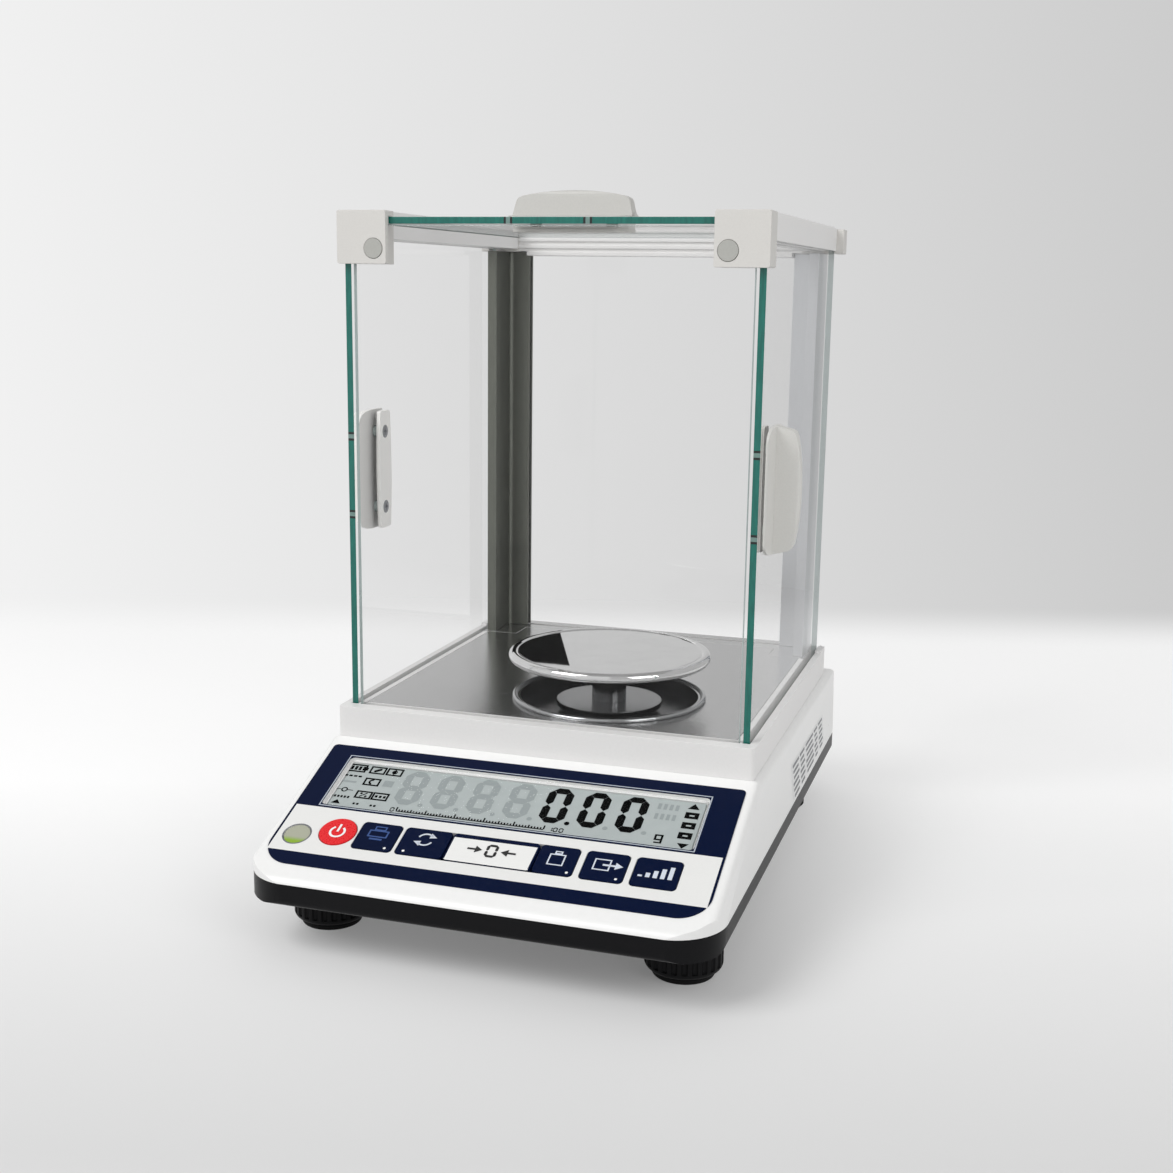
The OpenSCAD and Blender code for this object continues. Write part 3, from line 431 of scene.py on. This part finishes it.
for hand, axis in (("left", 0), ("right", 0), ("top", 2)):
    glass_low, glass_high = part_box("door_glass_" + hand)
    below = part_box("counter_plate_" + hand)[0][axis] < glass_low[axis]
    inner, outer = (glass_low, glass_high) if below else (glass_high, glass_low)
    away = 1 if below else -1
    grip, band_colour = GRIPS[hand]
    rounded("door_handle_" + hand, [grip], edge=0.15, seat=(axis, outer[axis], away))
    rounded(
        "counter_plate_" + hand,
        [grip, band_colour],
        edge=0.1,
        paint=near_glass(axis, inner[axis]),
        seat=(axis, inner[axis], -away),
    )
    rounded("handle_screws_" + hand, [PLATED_STEEL], edge=0.1)
rounded("frame_screws", [PLATED_STEEL], edge=0.1)
rounded("housing_screws", [PLATED_STEEL], edge=0.1)

# --- Pan ----------------------------------------------------------------------------------
# The pan is pressed from stainless steel and polished to a mirror; the carrier below it
# is turned from aluminium.
MIRROR_STEEL = moulded(
    "mirror_polished_stainless", "cfcfcf", "dadada", (0.015, 0.05), 9 * MM, 0, Metallic=1.0
)
TURNED_ALUMINIUM = brushed("turned_aluminium", "5f6061", "828384", (0.12, 0.22), (1, 1, 0.1))
rounded("weighing_pan", [MIRROR_STEEL], edge=0, shading=35)
rounded("pan_carrier", [TURNED_ALUMINIUM], edge=0.3)
rounded("pan_adapter", [TURNED_ALUMINIUM], edge=0.3)

# --- Front panel --------------------------------------------------------------------------
# A printed polyester film: navy round the display, a white band under the keys and a navy
# stripe below. Places on it are x and s, the distance down the slope from its upper edge.
film_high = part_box("keypad_overlay")[1]
press = next(joint for joint in frame["joints"] if joint["name"] == "key_zero_press")
ACROSS = Vector((1, 0, 0))
NORMAL = -Vector(press["axis"])
DOWN = ACROSS.cross(NORMAL)
FILM_T = 0.4
EDGE = Vector((0, film_high[1], film_high[2] - FILM_T * MM * NORMAL.z))
WINDOW_LOW, WINDOW_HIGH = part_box("lcd_window")


def on_panel(x, s, n=0.0):
    """The point at x, s and height n above the bare panel, all in millimetres."""
    return EDGE + (ACROSS * x + DOWN * s + NORMAL * n) * MM


def down_panel(point):
    """How far down the panel a point lies, in millimetres."""
    return (point - EDGE).dot(DOWN) / MM


INK_SHINE = 0.06
NAVY_FILM = moulded(
    "navy_print",
    "020d2a",
    "041234",
    (0.34, 0.42),
    0.7 * MM,
    0.001 * MM,
    Specular_IOR_Level=INK_SHINE,
)
WHITE_FILM = moulded("white_print", "e2e2e0", "e8e8e6", (0.30, 0.38), 0.7 * MM, 0.001 * MM)
BAND_TOP = 41.7
BAND_END = 69.8
OUTLINE = 1.0
band_x = film_high[0] / MM - OUTLINE


def film_paint(face):
    """1 for the film's white band, else 0 for navy."""
    middle = face.calc_center_median()
    in_band = BAND_TOP < down_panel(middle) < BAND_END and abs(middle.x) < band_x * MM
    return 1 if in_band else 0


rounded(
    "keypad_overlay",
    [NAVY_FILM, WHITE_FILM],
    edge=0,
    cuts=[(on_panel(0, s), DOWN) for s in (BAND_TOP, BAND_END)]
    + [(on_panel(x, 0), ACROSS) for x in (-band_x, band_x)],
    paint=film_paint,
)


def prints(name, outlines, material, n, body="balance"):
    """Flat prints at height n on the panel: each outline is a list of x, s corners."""
    work = bmesh.new()
    for outline in outlines:
        face = work.faces.new([work.verts.new(on_panel(x, s, n)) for x, s in outline])
        face.normal_update()
        if face.normal.dot(NORMAL) < 0:
            face.normal_flip()
    return piece(name, work, body, [material])


def box(x0, s0, x1, s1):
    """A rectangle between two opposite corners."""
    return [(x0, s0), (x1, s0), (x1, s1), (x0, s1)]


def frame_box(x0, s0, x1, s1, line):
    """A box drawn as an outline of that width, in four bars."""
    return [
        box(x0, s0, x1, s0 + line),
        box(x0, s1 - line, x1, s1),
        box(x0, s0 + line, x0 + line, s1 - line),
        box(x1 - line, s0 + line, x1, s1 - line),
    ]


def sector(x, s, inner, outer, begin, end, steps=20):
    """An arc of a ring in short quads; angles run clockwise from straight up."""
    spokes = [math.radians(begin + (end - begin) * i / steps) for i in range(steps + 1)]
    points = [(math.sin(a), -math.cos(a)) for a in spokes]
    return [
        [
            (x + inner * p[0], s + inner * p[1]),
            (x + outer * p[0], s + outer * p[1]),
            (x + outer * q[0], s + outer * q[1]),
            (x + inner * q[0], s + inner * q[1]),
        ]
        for p, q in zip(points, points[1:])
    ]


def disc(x, s, r, steps=20):
    """A filled circle."""
    turns = [2 * math.pi * i / steps for i in range(steps)]
    return [(x + r * math.sin(a), s + r * math.cos(a)) for a in turns]


# A painted highlight round the display window: a fine pale line round the opening, where
# the window's bevelled edge catches the light.
window_top = down_panel(Vector((0, WINDOW_HIGH[1], WINDOW_HIGH[2])))
window_end = down_panel(Vector((0, WINDOW_LOW[1], WINDOW_LOW[2])))
window_x0, window_x1 = WINDOW_LOW[0] / MM, WINDOW_HIGH[0] / MM
HIGHLIGHT_LINE = 0.5
WINDOW_HIGHLIGHT = moulded("window_painted_highlight", "aab2bd", "b6bec8", (0.3, 0.4), 1 * MM, 0.002 * MM)
prints(
    "window_highlight_line",
    frame_box(
        window_x0 - HIGHLIGHT_LINE - 0.3,
        window_top - HIGHLIGHT_LINE,
        window_x1 + HIGHLIGHT_LINE + 0.3,
        window_end + HIGHLIGHT_LINE,
        HIGHLIGHT_LINE,
    ),
    WINDOW_HIGHLIGHT,
    FILM_T + 0.02,
)

# --- Display -------------------------------------------------------------------------------
# A liquid-crystal cell behind a clear window. Its segments are black where they are on and
# leave a faint grey ghost where they are off.
LCD_GLASS = moulded("lcd_cell", "acb4b4", "b7bfbe", (0.35, 0.45), 5 * MM, 0.001 * MM)
LCD_ON = moulded(
    "lcd_segment_on",
    "060707",
    "0c0d0d",
    (0.4, 0.5),
    1 * MM,
    0.001 * MM,
    Specular_IOR_Level=0.02,
)
LCD_OFF = moulded("lcd_segment_off", "959d9e", "9ca4a4", (0.4, 0.5), 1 * MM, 0.001 * MM)
# The painted shadow along the cell's top and right edges
LCD_SHADE = moulded("lcd_painted_shadow", "6f7677", "7a8182", (0.4, 0.5), 1 * MM, 0.001 * MM)
ACRYLIC = clear("clear_acrylic", "fdfdfd", 1.12)
rounded("lcd_module", [LCD_GLASS], edge=0.1)
rounded("lcd_window", [ACRYLIC], edge=0.2, shading=0)
CELL = -1.76


def bar(x0, s0, x1, s1, half):
    """A display segment with pointed ends between two points."""
    begin, end = Vector((x0, s0)), Vector((x1, s1))
    along = (end - begin).normalized()
    aside = Vector((-along.y, along.x))
    tips = [begin, begin + half * (along + aside), end + half * (aside - along)]
    tips += [end, end - half * (along + aside), begin + half * (along - aside)]
    return [tuple(tip) for tip in tips]


def digit(x, s, wide, high, half, shown):
    """Seven segments; shown picks them by letter, a at the top and then clockwise, with g
    in the middle."""
    left, right = x + half, x + wide - half
    top, middle, low = s + half, s + high / 2, s + high - half
    ends = {
        "a": (left, top, right, top),
        "b": (right, top, right, middle),
        "c": (right, middle, right, low),
        "d": (left, low, right, low),
        "e": (left, middle, left, low),
        "f": (left, top, left, middle),
        "g": (left, middle, right, middle),
    }
    out = []
    for letter in shown:
        begin, end = Vector(ends[letter][:2]), Vector(ends[letter][2:])
        step = (end - begin).normalized() * 0.03 * half
        out.append(bar(*(begin + step), *(end - step), half))
    return out


DIGIT_W, DIGIT_H, DIGIT_S = 11.2, 22.0, 9.8
PITCH, FIRST_X = 16.4, 11.8
STROKE = 1.75
ZERO, EIGHT = "abcdef", "abcdefg"
POINT_S = DIGIT_S + DIGIT_H - 0.9
dark, ghost = [], []
for i in range(-4, 3):
    row = dark if i >= 0 else ghost
    x = FIRST_X + i * PITCH
    row += digit(x, DIGIT_S, DIGIT_W, DIGIT_H, STROKE, ZERO if i >= 0 else EIGHT)
    (dark if i == 0 else ghost).append(disc(x + DIGIT_W + 1.9, POINT_S, 1.15))

# Unit sign, scale of load and the column of function boxes on the right, between two
# pointers; every place is x, s in millimetres
UNIT_X, UNIT_S = 62.6, 30.6
dark += frame_box(UNIT_X, UNIT_S, UNIT_X + 3.6, UNIT_S + 3.5, 0.9)
dark += [box(UNIT_X + 2.7, UNIT_S + 3.5, UNIT_X + 3.6, UNIT_S + 4.4)]
dark += [box(UNIT_X + 0.3, UNIT_S + 4.4, UNIT_X + 3.6, UNIT_S + 5.2)]
SCALE_X0, SCALE_X1, SCALE_S = -49.6, 16.4, 35.3
dark += [box(SCALE_X0, SCALE_S + 0.6, SCALE_X1, SCALE_S + 1.2)]
TICKS = 50
for i in range(TICKS + 1):
    x = SCALE_X0 + (SCALE_X1 - SCALE_X0) * i / TICKS
    tall = 2.2 if i % 10 == 0 else 1.5 if i % 5 == 0 else 0.9
    dark.append(box(x - 0.35, SCALE_S + 0.6 - tall, x + 0.35, SCALE_S + 0.6))
for x, letters in ((-52.6, ZERO), (18.2, "bc"), (20.4, ZERO), (22.9, ZERO)):
    dark += digit(x, SCALE_S - 1.2, 2.0, 2.8, 0.28, letters)
BOX_TOPS = [15.2 + 6.2 * i for i in range(3)]
dark += [box(71.7, top, 77.5, top + 3.9) for top in BOX_TOPS]
dark.append([(71.9, 13.2), (76.9, 13.2), (74.4, 9.8)])
dark.append([(72.4, 34.2), (77.4, 34.2), (74.9, 37.2)])
light_marks = [box(73.6, top + 1.6, 75.7, top + 2.4) for top in BOX_TOPS]
for x in (59.4, 61.9, 64.4, 66.9):
    ghost += [box(x, top, x + 1.5, top + 3.6) for top in (11.8, 18.0)]

# Status signs on the left: a battery with four cells, five boxes with small signs in
# them, a zero mark between two dashes, rows of dashes and a pointer
LINE = 0.9
dark += frame_box(-82.4, 9.4, -73.6, 14.6, LINE)
dark += [box(-73.6, 11.0, -72.9, 13.0)]
dark += [box(-81.2 + 1.9 * i, 10.7, -79.9 + 1.9 * i, 13.3) for i in range(4)]
for x0, s0 in ((-71.9, 9.6), (-63.9, 9.6), (-71.5, 17.5), (-71.7, 26.2), (-63.9, 26.2)):
    dark += frame_box(x0, s0, x0 + 7.6, s0 + 5.0, LINE)
dark += [bar(-69.9, 13.3, -66.3, 10.9, 0.75)]
dark += sector(-60.1, 12.1, 0.0, 1.3, 0, 360, 12)
dark += [box(-60.4, 10.3, -59.8, 10.8), box(-60.4, 13.4, -59.8, 13.9)]
dark += sector(-67.6, 20.0, 0.75, 1.7, 180, 380, 12)
dark += [bar(-69.6, 30.1, -66.4, 27.3, 0.3), disc(-69.2, 27.9, 0.6), disc(-66.7, 29.5, 0.6)]
dark += [box(-62.5 + 1.9 * i, 28.0, -61.3 + 1.9 * i, 29.5) for i in range(3)]
dark += [box(-81.9 + 2.2 * i, 16.8, -80.3 + 2.2 * i, 17.9) for i in range(4)]
dark += [box(-81.8, 26.5, -79.3, 26.9), box(-76.3, 26.5, -73.8, 26.9)]
dark += sector(-77.8, 26.7, 0.9, 1.5, 0, 360, 16)
dark += [box(-82.3 + 1.55 * i, 30.6, -81.3 + 1.55 * i, 32.0) for i in range(6)]
dark += [[(-80.3, 36.0), (-75.9, 36.0), (-78.1, 33.4)]]
dark += [box(x, 34.2, x + 1.1, 35.4) for x in (-70.4, -68.7, -62.4, -60.7)]
ghost += [box(-81.2, 20.7, -74.6, 21.9), box(-62.3, 18.0, -57.6, 22.0)]

# The printed layers, and the painted shadow that the frame throws along two sides of the cell
prints("lcd_segments", dark, LCD_ON, CELL)
prints("lcd_ghosts", ghost, LCD_OFF, CELL - 0.005)
prints("lcd_light_marks", light_marks, LCD_GLASS, CELL + 0.01)
SHADE = 0.9
prints(
    "lcd_painted_shadow",
    [
        box(window_x0, window_top, window_x1, window_top + SHADE),
        box(window_x1 - SHADE, window_top + SHADE, window_x1, window_end),
    ],
    LCD_SHADE,
    CELL,
)

# --- Keys ------------------------------------------------------------------------------------
# Moulded caps that stand a little proud of the film, each over its own switch. The zero
# key is navy with a white field, and every key has a printed sign.
NAVY_KEY = moulded(
    "navy_key_cap",
    "020d2a",
    "041234",
    (0.32, 0.42),
    0.7 * MM,
    0.003 * MM,
    Specular_IOR_Level=INK_SHINE,
)
WHITE_KEY = moulded("white_key_cap", "e6e6e4", "ededeb", (0.28, 0.38), 0.7 * MM, 0.002 * MM)
RED_KEY = moulded("red_key_cap", "da0613", "e60b1a", (0.24, 0.32), 0.7 * MM, 0.002 * MM)
PALE_INK = moulded("pale_ink", "c9d0dc", "d6dce6", (0.35, 0.45), 1 * MM, 0.001 * MM)
BLUE_INK = moulded("blue_ink", "27457c", "2f5090", (0.35, 0.45), 1 * MM, 0.001 * MM)
WHITE_INK = moulded("white_ink", "ececec", "f4f4f4", (0.35, 0.45), 1 * MM, 0.001 * MM)
BLACK_INK = moulded("black_ink", "0b0b0c", "131314", (0.35, 0.45), 1 * MM, 0.001 * MM)
for name in ("print", "unit", "cal", "mode", "range"):
    rounded("key_" + name, [NAVY_KEY], edge=0.4)
rounded("key_power", [RED_KEY], edge=0.4)
FIELD_X0, FIELD_X1, FIELD_S0, FIELD_S1 = -17.0, 18.9, 49.9, 63.9
rounded(
    "key_zero",
    [NAVY_KEY, WHITE_KEY],
    edge=0.4,
    cuts=[(on_panel(0, s), DOWN) for s in (FIELD_S0, FIELD_S1)]
    + [(on_panel(x, 0), ACROSS) for x in (FIELD_X0, FIELD_X1)],
    paint=lambda face: int(
        face.normal.dot(NORMAL) > 0.9
        and FIELD_X0 < face.calc_center_median().x / MM < FIELD_X1
        and FIELD_S0 < down_panel(face.calc_center_median()) < FIELD_S1
    ),
)


# Signs lie just above the caps' tops; the outlines are in millimetres from a key's centre
KEY_PRINT = FILM_T + 0.62


def sign(name, outlines, ink, mark="sign_"):
    """A sign printed on a key, round its centre; it moves with the key."""
    low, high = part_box("key_" + name)
    centre = (Vector(low) + Vector(high)) / 2
    x, s = centre.x / MM, down_panel(centre)
    placed = [[(x + a, s + b) for a, b in outline] for outline in outlines]
    prints(mark + name, placed, ink, KEY_PRINT, "key_" + name)


power = sector(0, 0.4, 2.6, 3.6, 35, 325) + [box(-0.5, -4.2, 0.5, 0.4)]
sign("power", power, WHITE_INK)
printer = frame_box(-4.4, -3.4, 4.4, 0.8, 0.7) + frame_box(-2.6, -5.8, 2.6, -3.4, 0.6)
printer += [box(-2.8, 1.4, 2.8, 2.4)]
sign("print", printer, BLUE_INK)
arrows = sector(0, -1.6, 2.9, 3.7, 290, 410) + sector(0, -1.6, 2.9, 3.7, 110, 230)
arrows += [[(1.6, -5.6), (4.6, -3.2), (1.4, -2.6)], [(-1.6, 2.4), (-4.6, 0.0), (-1.4, -0.6)]]
sign("unit", arrows, PALE_INK)
weight = frame_box(-3.4, -3.2, 3.4, 3.2, 0.6) + frame_box(-1.6, -5.0, 1.6, -3.2, 0.6)
sign("cal", weight, PALE_INK)
way_out = frame_box(-4.8, -3.8, 2.2, 2.6, 0.6) + [box(-1.0, -1.1, 4.2, -0.1)]
way_out += [[(4.2, -2.6), (7.4, -0.6), (4.2, 1.4)]]
sign("mode", way_out, PALE_INK)
steps = [box(-7.0 + 3.0 * i, 2.0 - 1.5 * i, -5.2 + 3.0 * i, 3.0) for i in range(5)]
sign("range", steps, PALE_INK)
zero_sign = digit(-2.5, -3.7, 5.0, 7.4, 0.6, ZERO)
zero_sign += [box(-10.4, -0.5, -7.0, 0.5), box(7.0, -0.5, 10.4, 0.5)]
zero_sign += [[(-7.0, -2.0), (-4.0, 0.0), (-7.0, 2.0)], [(7.0, -2.0), (4.0, 0.0), (7.0, 2.0)]]
sign("zero", zero_sign, BLACK_INK)

# A small white dot in a lower corner of the keys that hold a second function
for name, x in (("print", 6.0), ("unit", -6.6), ("cal", 6.2), ("mode", 6.2)):
    sign(name, [disc(x, 6.4, 0.6)], WHITE_INK, "dot_")

# --- Level -----------------------------------------------------------------------------------
# A bull's-eye level: a clear cap over greenish fluid that pools at the low side, with the
# bubble's pale disc at the upper side.
LEVEL_X, LEVEL_S, LEVEL_R = -84.3, 59.5, 5.6
FLUID, fluid_shader, fluid_place = start("level_fluid", Roughness=0.12, Coat_Weight=0.5)
fluid_slope = add(
    FLUID, "ShaderNodeVectorMath", {1: DOWN}, {0: fluid_place}, operation="DOT_PRODUCT"
)
pool = on_panel(LEVEL_X, LEVEL_S + 1.2).dot(DOWN)
fluid_share = add(
    FLUID,
    "ShaderNodeMapRange",
    {"From Min": pool, "From Max": pool + 3 * MM},
    {"Value": fluid_slope.outputs["Value"]},
    interpolation_type="SMOOTHSTEP",
)
blend_colours(FLUID, fluid_shader, fluid_share.outputs["Result"], "a9ab98", "86aa22")
rounded("level_vial", [FLUID], edge=0.2)
GREY_INK = moulded("grey_ink", "606266", "6c6e72", (0.35, 0.45), 1 * MM, 0.001 * MM)
ring = sector(LEVEL_X, LEVEL_S, LEVEL_R + 0.1, LEVEL_R + 0.7, 0, 360, 40)
prints("level_ring", ring, GREY_INK, FILM_T + 0.02)

# --- Feet ------------------------------------------------------------------------------------
# Fluted knobs moulded round threaded studs, on rubber soles; the rear feet are rubber.
RUBBER = moulded(
    "moulded_rubber",
    "09090a",
    "111112",
    (0.60, 0.75),
    0.6 * MM,
    0.03 * MM,
    Specular_IOR_Level=DARK_SHINE,
)
KNOB = moulded(
    "glass_filled_nylon",
    "08080a",
    "101012",
    (0.42, 0.55),
    0.5 * MM,
    0.02 * MM,
    Specular_IOR_Level=DARK_SHINE,
)
for hand in ("left", "right"):
    rounded("foot_pad_" + hand, [RUBBER], edge=0.4)
    rounded("foot_knob_" + hand, [KNOB], edge=0.12)
rounded("rear_feet", [RUBBER], edge=0.15)

# --- Inside and back ---------------------------------------------------------------------------
# Weighing cell, boards and sockets, which show only through their openings.
MILLED = brushed("milled_aluminium", "a8aaac", "bcbec0", (0.28, 0.4), (0.2, 1, 1))
BOARD = moulded("solder_mask", "14502a", "1b6236", (0.3, 0.4), 2 * MM, 0.01 * MM)
BRASS = brushed("turned_brass", "9a7630", "b8924a", (0.22, 0.34), (1, 1, 0.2))
BLACK = moulded("moulded_connector", "0c0c0d", "171718", (0.4, 0.5), 0.6 * MM, 0.01 * MM)
CABLE = moulded("ribbon_insulation", "6f7175", "83858a", (0.5, 0.6), 1 * MM, 0.02 * MM)
rounded("load_cell", [MILLED], edge=0.3)
rounded("load_cell_bracket", [PLATED_STEEL], edge=0.3)
rounded("load_cell_bolts", [PLATED_STEEL], edge=0.15)
rounded("main_board", [BOARD], edge=0.1)
rounded("display_board", [BOARD], edge=0.1)
rounded("ribbon_cable", [CABLE], edge=0.1)
rounded("thread_inserts", [BRASS], edge=0.15)
rounded("dc_jack", [BLACK], edge=0.2)
rounded("serial_port", [PLATED_STEEL], edge=0.1)

# --- Side label ----------------------------------------------------------------------------
# The plate on the right wall carries only rows of plain grey bars. It lies on the plane of
# the wall's largest face.
PAPER_LABEL = moulded("label_film", "e4e4e4", "eaeaea", (0.30, 0.38), 1 * MM, 0.001 * MM)
wall_mesh = frame["nodes"]["upper_housing"].data
side = max((f for f in wall_mesh.polygons if f.normal.x > 0.9), key=lambda f: f.area)
LABEL = ((10.5, 52.6), (103.5, 51.9), (107.5, 36.0), (15.0, 33.6))
WORDS = ((0.03, 0.21), (0.24, 0.38), (0.42, 0.66), (0.69, 0.80), (0.84, 0.97))


def on_wall(u, v, lift):
    """The point at u along and v down the label, lifted off the wall by millimetres."""
    corners = [Vector(corner) * MM for corner in LABEL]
    y, z = corners[0].lerp(corners[1], u).lerp(corners[3].lerp(corners[2], u), v)
    slope = side.normal.y * (y - side.center.y) + side.normal.z * (z - side.center.z)
    return Vector((side.center.x - slope / side.normal.x + lift * MM, y, z))


def label(name, boxes, material, lift):
    """Boxes on the label, each from u0, v0 to u1, v1."""
    work = bmesh.new()
    for u0, v0, u1, v1 in boxes:
        corners = ((u0, v1), (u1, v1), (u1, v0), (u0, v0))
        work.faces.new([work.verts.new(on_wall(u, v, lift)) for u, v in corners])
    piece(name, work, "balance", [material])


label("label_plate", [(0, 0, 1, 1)], PAPER_LABEL, 0.06)
ROWS, ROW_TOP, ROW_SHARE = 6, 0.35, 0.5
bars = []
for i in range(ROWS):
    begin, stop = 0.01 * (i % 3), 0.02 * (i % 2)
    v0, v1 = (i + ROW_TOP) / ROWS, (i + ROW_TOP + ROW_SHARE) / ROWS
    bars += [(u0 + begin, v0, u1 - stop, v1) for u0, u1 in WORDS]
label("label_bars", bars, GREY_INK, 0.1)

# --- Studio --------------------------------------------------------------------------------
# A pale round floor with a wall far behind it, a large soft lamp and a camera on the right.
# The paper glows a little, but only for what looks at it, so that it adds no light to the
# object: brightest on the floor behind the object, and falling off to the right of it.
CAMERA = Vector((207.15, -657.49, 270.09)) * MM
AZIMUTH, ELEVATION, ROLL = math.radians(17.37), math.radians(11.32), math.radians(0.80)
AWAY = Vector((-math.sin(AZIMUTH), math.cos(AZIMUTH), 0))
ASIDE = Vector((math.cos(AZIMUTH), math.sin(AZIMUTH), 0))
STAND_OFF = -CAMERA.dot(AWAY)
PAPER, paper_shader, paper_place = start("background_paper", Roughness=0.9)
paper_shader.inputs["Base Color"].default_value = linear("d6d6d6")
rays = add(PAPER, "ShaderNodeLightPath").outputs


def compute(operation, first, second):
    """A Math node on two sockets or numbers."""
    made = add(PAPER, "ShaderNodeMath", operation=operation)
    for index, value in enumerate((first, second)):
        if isinstance(value, (int, float)):
            made.inputs[index].default_value = value
        else:
            join(PAPER, value, made.inputs[index])
    return made.outputs[0]


def ramp(value, low, high, at_low, at_high, kind="LINEAR"):
    """A Map Range node over value."""
    made = add(
        PAPER,
        "ShaderNodeMapRange",
        {"From Min": low, "From Max": high, "To Min": at_low, "To Max": at_high},
        {"Value": value},
        interpolation_type=kind,
    )
    return made.outputs["Result"]


def measured(direction):
    """How far a place on the paper lies in that direction."""
    made = add(
        PAPER,
        "ShaderNodeVectorMath",
        {1: direction},
        {0: paper_place},
        operation="DOT_PRODUCT",
    )
    return made.outputs["Value"]


seen = compute("MAXIMUM", rays["Is Camera Ray"], rays["Is Glossy Ray"])
seen = compute("MAXIMUM", seen, rays["Is Transmission Ray"])
depth = measured(AWAY)
distance = compute("MAXIMUM", compute("ADD", depth, STAND_OFF), 0.3)
spread = compute("DIVIDE", measured(ASIDE), distance)
floor_glow = ramp(depth, -0.26, 0.10, 0.03, 0.36)
wall_tone = ramp(spread, -0.39, 0.39, 0.88, 0.60)
radius = add(PAPER, "ShaderNodeVectorMath", links={0: paper_place}, operation="LENGTH")
far = compute(
    "MAXIMUM",
    ramp(depth, 0.44, 0.60, 0, 1, "SMOOTHSTEP"),
    ramp(radius.outputs["Value"], 1.4, 1.9, 0, 1, "SMOOTHSTEP"),
)
seen_glow = compute("MULTIPLY", floor_glow, seen)
glow = add(PAPER, "ShaderNodeEmission", links={"Strength": seen_glow})
wall = add(PAPER, "ShaderNodeEmission", links={"Strength": wall_tone})
near = add(
    PAPER, "ShaderNodeAddShader", links={0: paper_shader.outputs[0], 1: glow.outputs[0]}
)
whole = add(
    PAPER,
    "ShaderNodeMixShader",
    links={0: compute("MULTIPLY", far, seen), 1: near.outputs[0], 2: wall.outputs[0]},
)
join(PAPER, whole.outputs[0], PAPER.node_tree.nodes["Material Output"].inputs[0])


def staged(name, work, material):
    """Puts a finished bmesh into the studio, where it is no part of the object."""
    mesh = bpy.data.meshes.new(name)
    work.to_mesh(mesh)
    work.free()
    mesh.materials.append(material)
    made = bpy.data.objects.new(name, mesh)
    bpy.context.scene.collection.objects.link(made)
    return made


def backdrop(name, profile):
    """A surface of revolution in background paper, from a profile of radius and height."""
    work = bmesh.new()
    row = [work.verts.new((r, 0, z)) for r, z in profile]
    line = [work.edges.new(pair) for pair in zip(row, row[1:])]
    bmesh.ops.spin(
        work, geom=row + line, axis=(0, 0, 1), angle=2 * math.pi, steps=64, use_merge=True
    )
    bmesh.ops.remove_doubles(work, verts=work.verts, dist=0.01 * MM)
    bmesh.ops.recalc_face_normals(work, faces=work.faces)
    for face in work.faces:
        face.smooth = True
    return staged(name, work, PAPER)


FLOOR_R, COVE_R, WALL_TOP = 2.0, 0.5, 3.2
backdrop("studio_floor", [(0, 0), (0.7, 0), (FLOOR_R, 0)])
cove = [math.radians(10 * i) for i in range(10)]
wall_profile = [(FLOOR_R + COVE_R * math.sin(a), COVE_R * (1 - math.cos(a))) for a in cove]
studio_wall = backdrop("studio_wall", wall_profile + [(FLOOR_R + COVE_R, WALL_TOP)])
studio_wall.visible_diffuse = False
studio_wall.visible_shadow = False

# A level black flag, which only polished metal sees, and only from below: it puts the dark
# wedge on the left of the pan, and lies too high for the floor plate to mirror.
CLOTH, cloth_shader, _ = start("black_cloth", Roughness=0.9, Specular_IOR_Level=0)
cloth_shader.inputs["Base Color"].default_value = linear("060606")
cloth_side = add(CLOTH, "ShaderNodeNewGeometry").outputs["Backfacing"]
cloth_back = add(CLOTH, "ShaderNodeBsdfTransparent")
cloth_mix = add(
    CLOTH,
    "ShaderNodeMixShader",
    links={0: cloth_side, 1: cloth_shader.outputs[0], 2: cloth_back.outputs[0]},
)
join(CLOTH, cloth_mix.outputs[0], CLOTH.node_tree.nodes["Material Output"].inputs[0])
FLAG_Z = 0.128
FLAG = ((-0.0225, 0.0500), (-0.0860, 0.0500), (-0.0860, 0.1187), (-0.0506, 0.1187))
flag_work = bmesh.new()
flag_face = flag_work.faces.new([flag_work.verts.new((x, y, FLAG_Z)) for x, y in FLAG])
flag_face.normal_update()
if flag_face.normal.z > 0:
    flag_face.normal_flip()
flag = staged("black_flag", flag_work, CLOTH)
flag.visible_camera = False
flag.visible_diffuse = False
flag.visible_shadow = False

world = bpy.data.worlds.new("studio_air")
world.use_nodes = True
world.node_tree.nodes["Background"].inputs["Color"].default_value = linear("ffffff")
world.node_tree.nodes["Background"].inputs["Strength"].default_value = 0.5
bpy.context.scene.world = world


def lamp(name, place, aim, size, watts):
    """A square area lamp at place that faces aim."""
    light = bpy.data.lights.new(name, "AREA")
    light.size = size
    light.energy = watts
    made = bpy.data.objects.new(name, light)
    made.location = place
    made.rotation_euler = (Vector(aim) - Vector(place)).to_track_quat("-Z", "Y").to_euler()
    bpy.context.scene.collection.objects.link(made)


lamp("key_light", (-1.1, -1.3, 1.7), (0, 0, 0.12), 1.2, 28)
lamp("fill_light", (1.4, -0.9, 0.9), (0, 0, 0.15), 1.0, 9)

ahead = AWAY * math.cos(ELEVATION) - Vector((0, 0, math.sin(ELEVATION)))
up = ASIDE.cross(ahead)
right, up = (
    ASIDE * math.cos(ROLL) + up * math.sin(ROLL),
    up * math.cos(ROLL) - ASIDE * math.sin(ROLL),
)
camera = bpy.data.cameras.new("camera")
camera.lens = 46.24
camera.sensor_width = 36
camera_object = bpy.data.objects.new("camera", camera)
turn = Matrix((right, up, -ahead)).transposed().to_4x4()
camera_object.matrix_world = Matrix.Translation(CAMERA) @ turn
bpy.context.scene.collection.objects.link(camera_object)
bpy.context.scene.camera = camera_object
bpy.context.scene.view_settings.view_transform = "Standard"
